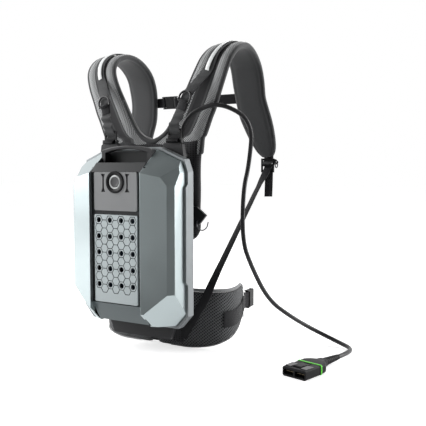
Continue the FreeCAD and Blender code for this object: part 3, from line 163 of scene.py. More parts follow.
def moulded(name, color, roughness, edge=0.0008, texture=0.12, spread=0.07, flake=0.0, gloss=0.4):
    """Moulded plastic with a fine grain, slight shade changes and rounded edges.

    Edge is the rounding, texture the grain's strength, spread the change of shade, flake the metallic
    share and gloss the specular level.
    """
    material, tree, bsdf = new_material(name)
    broad = noise_at(tree, CLOUD_SCALE, 3)
    shade_between(tree, bsdf, broad, "Fac", tint(color, 1 - spread), tint(color, 1 + spread))
    grain = noise_at(tree, GRAIN_SCALE, 1)
    vary_roughness(tree, bsdf, broad, "Fac", roughness - 0.05, roughness + 0.07)
    bump = raise_surface(tree, bsdf, grain, "Fac", texture, GRAIN_DEPTH)
    round_edges(tree, bump, edge)
    bsdf.inputs["Specular IOR Level"].default_value = gloss
    bsdf.inputs["Metallic"].default_value = flake
    return material


SCRATCH_SCALE, SCRATCH_DEPTH = (300, 300, 6000), 0.00005
METAL_EDGE = 0.0003


def metal(name, color, roughness):
    """Drawn or plated metal with fine scratches."""
    material, tree, bsdf = new_material(name)
    scratch = noise_at(tree, SCRATCH_SCALE, 2)
    shade_between(tree, bsdf, scratch, "Fac", tint(color, 0.85), tint(color, 1.1))
    vary_roughness(tree, bsdf, scratch, "Fac", roughness - 0.08, roughness + 0.12)
    bump = raise_surface(tree, bsdf, scratch, "Fac", 0.1, SCRATCH_DEPTH)
    round_edges(tree, bump, METAL_EDGE)
    bsdf.inputs["Metallic"].default_value = 1
    return material


SOFT_SPECULAR = 0.2
RIB_PITCH, WEAVE_DEPTH = 0.0014, 0.0003
RIB_TURNS, PICK_TURNS = 2 * math.pi, 2.6 * math.pi


def soft_finish(bsdf, roughness, sheen):
    bsdf.inputs["Roughness"].default_value = roughness
    bsdf.inputs["Specular IOR Level"].default_value = SOFT_SPECULAR
    bsdf.inputs["Sheen Weight"].default_value = sheen
    bsdf.inputs["Sheen Roughness"].default_value = 0.5


def woven(name, color, across):
    """Flat webbing: ribs along its length, picks across them, and a soft sheen."""
    material, tree, bsdf = new_material(name)
    mapping = place_source(tree, 1 / RIB_PITCH)
    split = add_node(tree, "ShaderNodeSeparateXYZ")
    link(tree, mapping, "Vector", split, "Vector")
    waves = []
    for axis, times in ((across, RIB_TURNS), ("Z" if across == "X" else "Y", PICK_TURNS)):
        turn = add_node(tree, "ShaderNodeMath", operation="MULTIPLY")
        turn.inputs[1].default_value = times
        link(tree, split, axis, turn, 0)
        wave = add_node(tree, "ShaderNodeMath", operation="SINE")
        link(tree, turn, 0, wave, 0)
        waves.append(wave)
    crossed = add_node(tree, "ShaderNodeMath", operation="MULTIPLY")
    link(tree, waves[0], 0, crossed, 0)
    link(tree, waves[1], 0, crossed, 1)
    level = add_node(tree, "ShaderNodeMapRange")
    level.inputs["From Min"].default_value = -1
    link(tree, crossed, 0, level, "Value")
    shade_between(tree, bsdf, level, "Result", tint(color, 0.75), tint(color, 1.3))
    raise_surface(tree, bsdf, level, "Result", 0.5, WEAVE_DEPTH)
    soft_finish(bsdf, 0.72, 0.1)
    return material


# Shares of the pitch between which a hole's dark centre turns into thread, and how unevenly the holes lie.
HOLE_INNER, HOLE_OUTER = 0.24, 0.42
HOLE_SCATTER = 0.06
MESH_RELIEF = 0.0004


def dotted(name, hole, thread, pitch, kind="UV"):
    """Spacer mesh: raised light threads round small dark holes set in staggered rows."""
    material, tree, bsdf = new_material(name)
    mapping = place_source(tree, 1 / pitch, kind)
    mapping.inputs["Rotation"].default_value = (0, 0, math.radians(45))
    dimensions = "3D" if kind == "Object" else "2D"
    cells = add_node(tree, "ShaderNodeTexVoronoi", feature="F1", voronoi_dimensions=dimensions)
    cells.inputs["Scale"].default_value = 1
    cells.inputs["Randomness"].default_value = HOLE_SCATTER
    link(tree, mapping, "Vector", cells, "Vector")
    edge = add_node(tree, "ShaderNodeMapRange", interpolation_type="SMOOTHSTEP")
    edge.inputs["From Min"].default_value = HOLE_INNER
    edge.inputs["From Max"].default_value = HOLE_OUTER
    link(tree, cells, "Distance", edge, "Value")
    shade_between(tree, bsdf, edge, "Result", hole, thread)
    raise_surface(tree, bsdf, edge, "Result", 0.7, MESH_RELIEF)
    bsdf.inputs["Roughness"].default_value = 0.8
    bsdf.inputs["Specular IOR Level"].default_value = SOFT_SPECULAR
    bsdf.inputs["Sheen Weight"].default_value = 0.12
    return material


def knitted(name, color, scale, roughness, depth=0.0003, sheen=0.25, spread=0.2):
    """Smooth laminated knit over foam, with a fine tooth and soft shading."""
    material, tree, bsdf = new_material(name)
    fine = noise_at(tree, scale, 3)
    shade_between(tree, bsdf, fine, "Fac", tint(color, 1 - spread), tint(color, 1 + spread))
    raise_surface(tree, bsdf, fine, "Fac", 0.35, depth)
    soft_finish(bsdf, roughness, sheen)
    return material


def painted_glow(name, color, strength):
    """Frosted plastic with a faint painted glow in its own colour, which brightens it without a lamp."""
    material, tree, bsdf = new_material(name)
    cloud = noise_at(tree, 90, 2)
    shade_between(tree, bsdf, cloud, "Fac", tint(color, 0.94), color)
    bsdf.inputs["Roughness"].default_value = 0.3
    bsdf.inputs["Emission Color"].default_value = (*color, 1)
    bsdf.inputs["Emission Strength"].default_value = strength
    return material


COVER = moulded("cover_plastic", (0.43, 0.49, 0.50), 0.3, edge=0.0012, texture=0.0, spread=0.03, flake=0.7)
SHELL = moulded("shell_plastic", (0.27, 0.29, 0.30), 0.36, edge=0.001, texture=0.02, spread=0.05, flake=0.4)
SPINE = moulded("spine_plastic", (0.02, 0.0215, 0.023), 0.42, gloss=0.25)
CHIN = moulded("chin_plastic", (0.09, 0.11, 0.115), 0.34, texture=0.02, flake=0.4)
GRILLE = moulded("grille_plastic", (0.43, 0.48, 0.49), 0.38, edge=0.0003, flake=0.2)
PANEL = moulded("panel_plastic", (0.24, 0.245, 0.25), 0.36)
# Painted shade: the grille's groove faces are darkened for the shade that falls in the narrow grooves.
GROOVE_SHADE = moulded("groove_painted_shade", (0.09, 0.10, 0.105), 0.5, edge=0.0002, gloss=0.2)
# Painted shade: the waisted recesses beside the button are darkened for the shade that falls in them.
RECESS_SHADE = moulded("recess_painted_shade", (0.03, 0.03, 0.032), 0.5, gloss=0.2)
GLOSS = moulded("gloss_black", (0.006, 0.006, 0.007), 0.42, edge=0.0005, texture=0.02, spread=0.05,
                gloss=0.15)
DISH = moulded("button_black", (0.05, 0.051, 0.054), 0.4, edge=0.0004)
# Painted glow: the light ring shines faintly by itself to look brighter.
RING_PAINTED_GLOW = painted_glow("light_ring_painted_glow", (0.62, 0.64, 0.64), 0.05)
BLACK = moulded("moulded_black", (0.016, 0.016, 0.018), 0.42, gloss=0.3)
BUCKLE = moulded("buckle_black", (0.009, 0.009, 0.010), 0.4, edge=0.0006, gloss=0.15)
PLUG_BLACK = moulded("plug_black", (0.005, 0.005, 0.006), 0.42, edge=0.0006, gloss=0.12)
PLUG_GREY = moulded("plug_pad_grey", (0.12, 0.12, 0.122), 0.45)
SEAL = moulded("seal_green", (0.10, 0.72, 0.02), 0.35, edge=0.0006, texture=0.05, spread=0.05)
RING = moulded("ring_black", (0.015, 0.015, 0.017), 0.3, edge=0.0003)
WRAP = moulded("module_wrap", (0.04, 0.08, 0.14), 0.35)
BOARD = moulded("board_green", (0.01, 0.07, 0.03), 0.35)
STEEL = metal("plated_steel", (0.62, 0.62, 0.6), 0.3)
DARK_WIRE = metal("blackened_wire", (0.16, 0.16, 0.17), 0.35)
# A brass tint, darkened with painted shade that stands for the shade inside the plug's openings.
CONTACT_WITH_SHADE = metal("contact_metal_painted_shade", (0.12, 0.10, 0.07), 0.4)
STRAP_MESH = dotted("strap_mesh", (0.035, 0.036, 0.038), (0.50, 0.51, 0.515), 0.0040)
BELT_MESH = dotted("belt_mesh", (0.004, 0.004, 0.005), (0.12, 0.124, 0.128), 0.0052)
PAD_MESH = dotted("pad_mesh", (0.006, 0.006, 0.007), (0.04, 0.04, 0.043), 0.005, "Object")
STRAP_FOAM = knitted("strap_foam", (0.05, 0.051, 0.053), 1400, 0.75)
CHANNEL = knitted("channel_cloth", (0.022, 0.022, 0.024), 1600, 0.8)
BINDING = knitted("binding_cloth", (0.042, 0.043, 0.045), 2200, 0.6)
EDGE_GREY = knitted("rolled_edge_grey", (0.27, 0.275, 0.28), 1500, 0.8)
THREAD = knitted("thread_grey", (0.09, 0.09, 0.095), 3000, 0.7)
CORD_SKIN = knitted("cord_skin", (0.036, 0.036, 0.038), 2400, 0.3, depth=0.00003, sheen=0.0, spread=0.12)
WEB_X = woven("webbing_across_x", (0.014, 0.014, 0.016), "X")
WEB_Z = woven("webbing_across_z", (0.012, 0.012, 0.014), "Z")
WEB_STRAP = woven("strap_webbing_weave", (0.055, 0.056, 0.058), "X")
REFLECT = moulded("reflective_tape", (0.86, 0.88, 0.88), 0.3, edge=0.0002, texture=0.3, spread=0.04)


def dress(material, *names):
    for name in names:
        mesh = nodes[name].data
        mesh.materials.clear()
        mesh.materials.append(material)


def pair(name):
    return "right_" + name, "left_" + name


dress(COVER, *pair("cover"))
dress(SHELL, "rear_shell")
dress(SPINE, "centre_spine")
dress(CHIN, "chin_panel")
dress(GRILLE, "grille_panel")
dress(PANEL, "control_panel")
dress(GLOSS, "bezel_ring")
dress(DISH, "power_button")
dress(RING_PAINTED_GLOW, "light_ring")
dress(BLACK, "button_switch", "carry_handle", "back_frame", "tool_tab", "cable_gland")
dress(PLUG_BLACK, "plug_head", "plug_latch", "plug_body", "plug_strain_relief")
dress(BUCKLE, *pair("ladder_lock"), *pair("strap_adjuster"), "chest_buckle_female", "chest_buckle_male",
      "hip_buckle_female", "hip_buckle_male")
dress(WRAP, *pair("cell_module"))
dress(BOARD, "management_board")
dress(STEEL, "housing_screws", "frame_screws")
dress(DARK_WIRE, "tool_hook")
dress(RING, *pair("d_ring"), *pair("end_ring"))
dress(CONTACT_WITH_SHADE, "plug_contacts")
dress(SEAL, "plug_seal_ring")


def dress_faces(material, name, chosen):
    """A second material on those of a node's faces that a test picks."""
    mesh = nodes[name].data
    mesh.materials.append(material)
    slot = len(mesh.materials) - 1
    for face in mesh.polygons:
        if chosen(face):
            face.material_index = slot


# The waisted recesses beside the button and the grille's grooves, both darkened with painted shade, and the
# plug's two raised pads.
RECESS_X, RECESS_Z, RECESS_Y = (0.026, 0.041), (0.366, 0.412), -0.1955
PLUG_PAD_LEVEL = 0.021
GRILLE_HALF = 0.055
GRILLE_FRONT = min(vertex.co.y for vertex in nodes["grille_panel"].data.vertices)
GROOVE_Y = (GRILLE_FRONT + 0.0002, GRILLE_FRONT + 0.0022)


# Picks the faces inside the waisted recesses, which get painted shade.
def in_recess_shade(face):
    spot = face.center
    return (RECESS_X[0] < abs(spot.x) < RECESS_X[1] and RECESS_Z[0] < spot.z < RECESS_Z[1]
            and spot.y > RECESS_Y)


# Picks the grille's groove faces, which get painted shade.
def in_groove_shade(face):
    return GROOVE_Y[0] < face.center.y < GROOVE_Y[1] and abs(face.center.x) < GRILLE_HALF


def on_plug_pad(face):
    return face.center.z > PLUG_PAD_LEVEL


dress_faces(RECESS_SHADE, "control_panel", in_recess_shade)
dress_faces(PLUG_GREY, "plug_head", on_plug_pad)
dress_faces(GROOVE_SHADE, "grille_panel", in_groove_shade)


# Piece building blocks.
def new_piece(name, data, materials, stands_for=()):
    """A piece that rides on the pack, in place of the nodes that it stands for."""
    thing = bpy.data.objects.new(name, data)
    scene.collection.objects.link(thing)
    if not data.materials:
        for material in materials:
            data.materials.append(material)
    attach(thing, PACK)
    if stands_for:
        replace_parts(thing, *stands_for)
    return thing


def smoothed(mesh):
    mesh.polygons.foreach_set("use_smooth", [True] * len(mesh.polygons))
    return mesh


def soften_mesh(thing):
    modifier = thing.modifiers.new("soft", "SUBSURF")
    modifier.levels = modifier.render_levels = 1


def between(values, steps):
    """Rows of numbers with even rows put between them on a smooth curve through them all."""
    rows = []
    last = len(values) - 1
    for index in range(last):
        before, start, end, after = (values[max(index - 1, 0)], values[index], values[index + 1],
                                     values[min(index + 2, last)])
        for step in range(steps):
            t = step / steps
            rows.append([0.5 * (2 * b + (c - a) * t + (2 * a - 5 * b + 4 * c - d) * t * t
                                + (3 * b - 3 * c + d - a) * t ** 3)
                         for a, b, c, d in zip(before, start, end, after)])
    rows.append(list(values[last]))
    return rows


def sweep(name, stations, section, materials, faces_of):
    """A closed section carried along stations of (place, side, up, width, thickness).

    section gives (across, out) pairs in metres, and faces_of the material of each of its edges.
    """
    made = bmesh.new()
    uv = made.loops.layers.uv.new("pattern")
    rings, shares = [], []
    run = 0.0
    for index, (place, side, up, width, thickness) in enumerate(stations):
        if index:
            run += (place - stations[index - 1][0]).length
        ring = [made.verts.new(place + side * a + up * b) for a, b in section(width, thickness)]
        rings.append(ring)
        shares.append(run)
    count = len(rings[0])
    around = [[0.0] for _ in rings]
    for ring, total in zip(rings, around):
        for index in range(count):
            total.append(total[-1] + (ring[(index + 1) % count].co - ring[index].co).length)
    for row in range(len(rings) - 1):
        for index in range(count):
            ahead = (index + 1) % count
            face = made.faces.new((rings[row][index], rings[row][ahead],
                                   rings[row + 1][ahead], rings[row + 1][index]))
            face.material_index = faces_of[index]
            face.smooth = True
            corners = ((row, index), (row, index + 1), (row + 1, index + 1), (row + 1, index))
            for loop, (at_row, at_index) in zip(face.loops, corners):
                loop[uv].uv = (around[at_row][at_index], shares[at_row])
    for ring, order in ((rings[0], -1), (rings[-1], 1)):
        face = made.faces.new(ring[::order])
        face.material_index = faces_of[0]
        face.smooth = True
    bmesh.ops.recalc_face_normals(made, faces=made.faces)
    mesh = bpy.data.meshes.new(name)
    made.to_mesh(mesh)
    made.free()
    for material in materials:
        mesh.materials.append(material)
    return mesh


def tube_through(name, spots, radius, material):
    """A round tube on a smooth curve through spots."""
    data = bpy.data.curves.new(name, "CURVE")
    data.dimensions = "3D"
    data.bevel_depth = radius
    data.bevel_resolution = 4
    data.use_fill_caps = True
    line = data.splines.new("BEZIER")
    line.bezier_points.add(len(spots) - 1)
    for point, spot in zip(line.bezier_points, spots):
        point.co = spot
        point.handle_left_type = point.handle_right_type = "AUTO"
    line.resolution_u = 6
    return new_piece(name, data, [material])


JOIN_WITHIN, FLAT_WITHIN = 0.00002, math.radians(1)


def clean_copy(name, node):
    """A node's mesh with its split corners joined again, as a new mesh."""
    made = bmesh.new()
    made.from_mesh(nodes[node].data)
    bmesh.ops.remove_doubles(made, verts=made.verts, dist=JOIN_WITHIN)
    bmesh.ops.dissolve_limit(made, angle_limit=FLAT_WITHIN, verts=made.verts, edges=made.edges)
    mesh = bpy.data.meshes.new(name)
    made.to_mesh(mesh)
    made.free()
    return mesh


def cut_across(mesh, levels):
    """Cuts a mesh at level heights in millimetres, so that it can be bent between them."""
    made = bmesh.new()
    made.from_mesh(mesh)
    for level in levels:
        everything = made.verts[:] + made.edges[:] + made.faces[:]
        bmesh.ops.bisect_plane(made, geom=everything, dist=1e-6, plane_co=Z_AXIS * (level * MM),
                               plane_no=Z_AXIS)
    made.to_mesh(mesh)
    made.free()


def table_value(table, level):
    """A value from rows of (level, value) with the levels falling."""
    if level >= table[0][0]:
        return table[0][1]
    for (high, start), (low, end) in zip(table, table[1:]):
        if level >= low:
            return end + (start - end) * (level - low) / (high - low)
    return table[-1][1]


# The lower webbing turns edge-on between the adjuster and the belt: its middle line, and the turn in
# degrees by level. The free tail, more than TAIL_GAP behind that line, turns to face outwards.
LOWER_LINE = [(196, 359.2, 416.5), (188, 312, 363), (166, 161, 184), (158, 147, 155), (146, 143.5, 125)]
LOWER_ACROSS = [(level, across) for across, _, level in LOWER_LINE]
LOWER_DEPTH = [(level, depth) for _, depth, level in LOWER_LINE]
LOWER_TURN = [(408, 0), (380, 26), (300, 25), (200, 14), (140, 0)]
LOWER_CUTS = range(144, 420, 6)
LOOK_AHEAD = 4
TAIL_GAP = 0.013
TAIL_DEPTH = [(416, 371.8), (350, 368)]
TAIL_TURN = [(420, 0), (402, 30), (350, 38)]


def lower_spot(level, side_sign):
    return at(side_sign * table_value(LOWER_ACROSS, level), table_value(LOWER_DEPTH, level), level)


def twist_lower(mesh, side_sign):
    cut_across(mesh, LOWER_CUTS)
    for vertex in mesh.vertices:
        level = vertex.co.z / MM
        if not LOWER_LINE[-1][2] < level < LOWER_LINE[0][2]:
            continue
        centre = lower_spot(level, side_sign)
        if vertex.co.y - centre.y > TAIL_GAP:
            centre = at(side_sign * LOWER_LINE[0][0], table_value(TAIL_DEPTH, level), level)
            turn, axis = table_value(TAIL_TURN, level), Z_AXIS
        else:
            turn = table_value(LOWER_TURN, level)
            axis = (lower_spot(level - LOOK_AHEAD, side_sign) - centre).normalized()
        rotation = Matrix.Rotation(math.radians(turn) * side_sign, 3, axis)
        vertex.co = centre + rotation @ (vertex.co - centre)


# Between the buckle and the ring's loop the lifter lies in two slack folds.
FOLD_LOW, FOLD_HIGH = 511, 547
FOLD_OUT, FOLD_ASIDE, FOLD_RISE = 5.5, 2.2, 0.2
FOLD_STEPS = 20
LIFTER_FRONT_Y = -0.07


def fold_lifter(mesh, side_sign):
    tall = FOLD_HIGH - FOLD_LOW
    cut_across(mesh, [FOLD_LOW + tall * step / FOLD_STEPS for step in range(1, FOLD_STEPS)])
    for vertex in mesh.vertices:
        share = (vertex.co.z / MM - FOLD_LOW) / tall
        if 0 < share < 1 and vertex.co.y < LIFTER_FRONT_Y:
            out = FOLD_OUT * (1 - math.cos(4 * math.pi * share)) / 2
            aside = FOLD_ASIDE * math.sin(2 * math.pi * share) * math.sin(math.pi * share)
            vertex.co += Vector((-side_sign * aside, -out, out * FOLD_RISE)) * MM


# The belt webbing lies high on the wing and comes down to the buckle's bar over the last stretch.
BAND_RAISE = 0.009
BAND_LEVEL_Y, BAND_BAR_Y = 0.122, 0.152


def raise_band(mesh, _):
    for vertex in mesh.vertices:
        share = (BAND_BAR_Y - vertex.co.y) / (BAND_BAR_Y - BAND_LEVEL_Y)
        vertex.co.z += BAND_RAISE * min(1, max(0, share))


SHARP_CORNER = math.radians(50)


def webbing_from(node, material, edge=0.0004, shaped=None):
    """Webbing in a node's place, with rounded woven edges. shaped bends its mesh, given the side's sign."""
    mesh = clean_copy(node + "_woven", node)
    if shaped:
        shaped(mesh, 1 if node.startswith("right") else -1)
    thing = new_piece(node + "_woven", mesh, [material], [node])
    rounding = thing.modifiers.new("edges", "BEVEL")
    rounding.width = edge
    rounding.segments = 2
    rounding.limit_method = "ANGLE"
    rounding.angle_limit = SHARP_CORNER
    smoothed(thing.data)


STITCH_PITCH, STITCH_LIFT = 0.0034, 0.0001
STITCH_HALVES = (0.0011, 0.00035, 0.0003, 1)


def stitches(name, spots, ups):
    """A row of thread stitches along a line of spots, lying on the cloth."""
    made = bmesh.new()
    carry = 0.0
    for (start, end), up in zip(zip(spots, spots[1:]), ups):
        run = end - start
        length = run.length
        if length < 1e-6:
            continue
        forward = run / length
        side = forward.cross(up).normalized()
        normal = side.cross(forward)
        reach = carry
        while reach < length:
            turn = Matrix((forward, side, normal)).transposed().to_4x4()
            turn.translation = start + forward * reach
            size = Matrix.Diagonal(STITCH_HALVES)
            bmesh.ops.create_icosphere(made, subdivisions=1, radius=1, matrix=turn @ size)
            reach += STITCH_PITCH
        carry = reach - length
    mesh = bpy.data.meshes.new(name)
    made.to_mesh(mesh)
    made.free()
    new_piece(name, smoothed(mesh), [THREAD])


# Output cord, on the route of the part's source.
RELIEF_TOP = 484
CORD = [(97, 118, RELIEF_TOP), (97, 118, 504.5), (104.8, 121.3, 527), (128, 128.6, 551),
        (190.3, 131.3, 566.4), (244.6, 183.3, 526.7), (226.4, 199.7, 426.8), (230.7, 163.7, 374.9),
        (237.3, 146.9, 263.9), (247.5, 166.6, 207.4), (267.4, 218.4, 119.7), (306.7, 260.6, 76.2),
        (332.2, 331.8, 35), (388.7, 347.2, 9), (436.8, 315.1, 5.3), (442.4, 254.6, 10),
        (434.62, 222.52, 10)]
CORD_DIAMETER = 0.010


def make_cord():
    data = bpy.data.curves.new("power_cord", "CURVE")
    data.dimensions = "3D"
    data.bevel_depth = CORD_DIAMETER / 2
    data.bevel_resolution = 6
    data.use_fill_caps = True
    line = data.splines.new("NURBS")
    line.points.add(len(CORD) - 1)
    for point, spot in zip(line.points, CORD):
        point.co = (*at(*spot), 1)
    line.order_u = 3
    line.use_endpoint_u = True
    line.resolution_u = 12
    thing = new_piece("power_cord", data, [CORD_SKIN], ["power_cable"])


make_cord()

# Shoulder straps: the middle, width and thickness at each station. The first two lie on the back pad, and
# the rest are the stations of the part's source, the third a little thicker. The lean, in degrees, turns the
# lowest stations to follow the yoke.
STRAP = [(69.5, 146, 450, 136, 17), (70.5, 146.2, 472, 139, 18), (71, 147, 489.6, 141, 17),
         (84.5, 148, 496.2, 121, 16.5), (94, 148, 506, 110.3, 17), (103.5, 148, 522.5, 103.6, 17),
         (115.5, 148, 546.5, 97, 17), (128, 148, 572, 93.6, 17), (140.5, 148, 600.5, 89, 17),
         (155, 150, 636, 86, 17), (164, 160, 667, 85, 17), (168, 190, 693, 82, 17),
         (167, 232, 705, 80, 17), (164, 275, 695, 82, 17), (161, 310, 667, 85, 17),
         (160, 326, 630, 87, 17), (162, 334, 592, 83, 17), (168, 340, 560, 84, 17), (178, 344, 530, 80, 17),
         (187, 349, 500, 72, 17), (194, 356, 472, 58, 16), (197, 360, 458, 44, 13), (198, 362, 450, 30, 10)]
YOKE_LEAN = (0, 0, 0, 2.1, 4.2, 6.1, 11.3, 20, 24)
STRAP_STEPS = 3
STITCH_FROM, STITCH_TO = 12, -6
STITCH_SINK = 0.0016
CHANNEL_HALF = 0.0145
BINDING_WIDE = 0.0062


def strap_directions(index):
    """Directions across the strap and out of its outer face at one of its own stations."""
    if index < len(YOKE_LEAN):
        lean = math.radians(YOKE_LEAN[index])
        return Vector((math.cos(lean), 0, -math.sin(lean))), FRONT
    ahead, behind = STRAP[min(index + 1, len(STRAP) - 1)], STRAP[index - 1]
    forward = (Vector(ahead[:3]) - Vector(behind[:3])).normalized()
    across = (X_AXIS - forward * forward.x).normalized()
    return across, across.cross(forward).normalized()


def strap_stations(side_sign):
    rows = []
    for index, row in enumerate(STRAP):
        across, up = strap_directions(index)
        rows.append([*row, *across, *up])
    stations = []
    for x, y, z, width, thickness, *ways in between(rows, STRAP_STEPS):
        across, up = Vector(ways[:3]).normalized(), Vector(ways[3:]).normalized()
        mirrored = Vector((side_sign, 1, 1))
        stations.append((at(side_sign * x, y, z), across * mirrored * side_sign, up * mirrored,
                         width * MM, thickness * MM))
    return stations


def strap_section(width, thickness):
    """Foam body with two crowned mesh bands, a channel for the webbing and a binding round each edge."""
    half, top = width / 2, thickness / 2
    channel = min(CHANNEL_HALF, half * 0.45)
    binding = min(BINDING_WIDE, half * 0.2)
    band = half - binding
    seam = half - min(0.011, half * 0.3)
    crown = (band + channel) / 2
    inner_side = [(half * 0.35, -top), (seam - 0.003, -top + 0.0004), (seam, -top + 0.0022)]
    bound_edge = [(seam + 0.0026, -top + 0.0012), (half - 0.0028, -top + 0.0028), (half, -0.001),
                  (half - 0.0006, top - 0.0052), (half - binding * 0.45, top - 0.0018),
                  (band + 0.0004, top - 0.0022)]
    mesh_band = [(band - 0.0012, top - 0.0026), (band - 0.004, top - 0.0008), (crown, top + 0.0006),
                 (channel + 0.0042, top - 0.0006)]
    channel_edge = [(channel + 0.0026, top - 0.0014), (channel + 0.0012, top - 0.0002),
                    (channel - 0.0004, top - 0.0016)]
    right = inner_side + bound_edge + mesh_band + channel_edge
    left = [(-a, b) for a, b in reversed(right)]
    return right + left


# Which of make_strap's materials each edge of the section has.
FOAM, BIND, MESH, TRACK = range(4)
HALF_FACES = [FOAM] * 3 + [BIND] * 6 + [MESH] * 4 + [BIND] * 2
STRAP_FACES = HALF_FACES + [TRACK] + HALF_FACES[::-1] + [FOAM]


def make_strap(name, side_sign):
    stations = strap_stations(side_sign)
    mesh = sweep(name, stations, strap_section, [STRAP_FOAM, BINDING, STRAP_MESH, CHANNEL], STRAP_FACES)
    solid = ("right" if side_sign > 0 else "left") + "_shoulder_strap"
    strap = new_piece(name, mesh, [], [solid])
    soften_mesh(strap)
    chosen = stations[STITCH_FROM:STITCH_TO:2]
    for edge, sign in (("outer", 1), ("inner", -1)):
        spots = [place + across * (sign * (width / 2 - BINDING_WIDE - STITCH_LIFT))
                 + up * (thickness / 2 - STITCH_SINK)
                 for place, across, up, width, thickness in chosen]
        stitches(f"{name}_{edge}_stitches", spots, [station[2] for station in chosen])


make_strap("right_strap_cushion", 1)
make_strap("left_strap_cushion", -1)

# The yoke: a binding round the opening between the straps, as (across, level, width, thickness).
YOKE_EDGE = [(84, 588, 6.2, 10.5), (67.9, 556, 7.4, 12.3), (52, 528, 9, 12.5), (39, 510, 10.5, 13),
             (24, 498.4, 12, 14.2), (10, 491.6, 13, 15.8), (0, 490, 13.4, 16)]
YOKE_Y = 144.5
YOKE_OVERHANG = 0.0006
YOKE_STEPS = 3


def rounded_band(width, thickness):
    half, top = width / 2, thickness / 2
    corner = min(0.0016, half * 0.4, top * 0.8)
    return [(-half, -top + corner), (-half + corner, -top), (half - corner, -top), (half, -top + corner),
            (half, top - corner), (half - corner, top), (-half + corner, top), (-half, top - corner)]


def make_yoke():
    line = YOKE_EDGE + [(-x, z, wide, deep) for x, z, wide, deep in reversed(YOKE_EDGE[:-1])]
    rows = between(line, YOKE_STEPS)
    stations = []
    for index, (x, z, wide, deep) in enumerate(rows):
        before, after = rows[max(index - 1, 0)], rows[min(index + 1, len(rows) - 1)]
        forward = Vector((after[0] - before[0], 0, after[1] - before[1])).normalized()
        down = Vector((forward.z, 0, -forward.x))
        if down.z > 0:
            down = -down
        place = at(x, YOKE_Y, z) + down * (wide / 2 * MM - YOKE_OVERHANG)
        stations.append((place, down, FRONT, wide * MM, deep * MM))
    mesh = sweep("yoke_binding", stations, rounded_band, [BINDING], [0] * 8)
    edge = new_piece("yoke_binding", mesh, [])
    soften_mesh(edge)


make_yoke()

for side in ("right", "left"):
    webbing_from(side + "_strap_webbing", WEB_STRAP, shaped=fold_lifter)
    webbing_from(side + "_lower_webbing", WEB_X, shaped=twist_lower)
    webbing_from(side + "_chest_webbing", WEB_Z)
    webbing_from(side + "_belt_webbing", WEB_Z, shaped=raise_band)
webbing_from("ring_loops", WEB_X)
webbing_from("belt_keepers", WEB_Z, shaped=raise_band)
webbing_from("reflective_strips", REFLECT, 0.0001)


# Hip belt: a spot on the outer face in plan, with its top and bottom edge. The section's faces are foam
# inside and mesh outside.
WING = [(0, 147.6, 133, 0.4), (45, 147.6, 133.6, 0.2), (90, 148, 134, 0.2), (112, 151, 134, 1.4),
        (130, 155.5, 134, 3.4), (154, 165, 134, 8), (170, 182, 133.5, 14), (178, 206, 132, 20),
        (177, 234, 131, 28), (170, 263, 129.5, 35), (160, 292, 128, 42), (150, 318, 126, 50),
        (144, 333, 121, 60), (140.5, 341, 112, 72)]
BELT_THICKNESS = 14
WING_STEPS = 2
WING_FACES = [0] * 6 + [1] * 6 + [0]
PIPING_RADIUS, PIPING_INSET, PIPING_SINK = 0.0015, 0.0022, 0.002
ROLL_RADIUS, ROLL_RISE = 0.004, 0.0034
STITCH_INSET = 0.011


def wing_share(index, last):
    """Share of the belt's thickness at a station: less at the belt's middle and towards the wing's end."""
    if index == last:
        return 0.6
    if index > last - 3:
        return 0.8
    return 0.7 if index < 3 else 1


def wing_stations(side_sign):
    rows = between(WING, WING_STEPS)
    places = [at(side_sign * x, y, 0) for x, y, _, _ in rows]
    stations = []
    last = len(rows) - 1
    for index, (place, (_, _, high, low)) in enumerate(zip(places, rows)):
        if index == 0:
            out = FRONT
        else:
            forward = (places[min(index + 1, last)] - places[index - 1]).normalized()
            out = forward.cross(Z_AXIS).normalized() * side_sign
        depth = BELT_THICKNESS * wing_share(index, last)
        centre = place + Z_AXIS * ((high + low) / 2 * MM) - out * (depth / 2 * MM)
        stations.append((centre, Z_AXIS, out, (high - low) * MM, depth * MM))
    return stations


def wing_section(width, thickness):
    half, top = width / 2, thickness / 2
    return [(-half, 0), (-half + 0.003, -top + 0.0015), (-half * 0.5, -top), (half * 0.5, -top),
            (half - 0.003, -top + 0.0015), (half, 0), (half - 0.002, top - 0.0028),
            (half - 0.010, top - 0.0004), (half * 0.6, top), (0, top), (-half * 0.6, top),
            (-half + 0.010, top - 0.0004), (-half + 0.002, top - 0.0028)]


def make_belt_wing(side, side_sign):
    stations = wing_stations(side_sign)
    mesh = sweep(side + "_wing_cushion", stations, wing_section, [STRAP_FOAM, BELT_MESH], WING_FACES)
    wing = new_piece(side + "_wing_cushion", mesh, [], [side + "_belt_wing"])
    soften_mesh(wing)
    low_edge = [centre - Z_AXIS * (width / 2 - PIPING_INSET) + out * (thickness / 2 - PIPING_SINK)
                for centre, _, out, width, thickness in stations[2:]]
    tube_through(side + "_wing_low_piping", low_edge, PIPING_RADIUS, EDGE_GREY)
    rolled = [centre + Z_AXIS * (width / 2 + ROLL_RISE) for centre, _, _, width, _ in stations]
    rolled_edge = tube_through(side + "_wing_rolled_edge", rolled, ROLL_RADIUS, EDGE_GREY)
    sewn = stations[1:-1]
    for edge, sign in (("top", 1), ("bottom", -1)):
        spots = [centre + Z_AXIS * (sign * (width / 2 - STITCH_INSET)) + out * (thickness / 2 + STITCH_LIFT)
                 for centre, _, out, width, thickness in sewn]
        stitches(f"{side}_wing_{edge}_stitches", spots, [station[2] for station in sewn])
    return rolled_edge


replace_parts(make_belt_wing("right", 1), "belt_bindings")
make_belt_wing("left", -1)


# Back pad and lumbar pad: the frame's solids, remeshed and swelled like stuffed fabric.
PAD_VOXEL = 0.005
PAD_PRESSURE = 4
PAD_CAP = 0.006
PAD_SHARE = 0.5
PAD_FRAMES = range(1, 15)


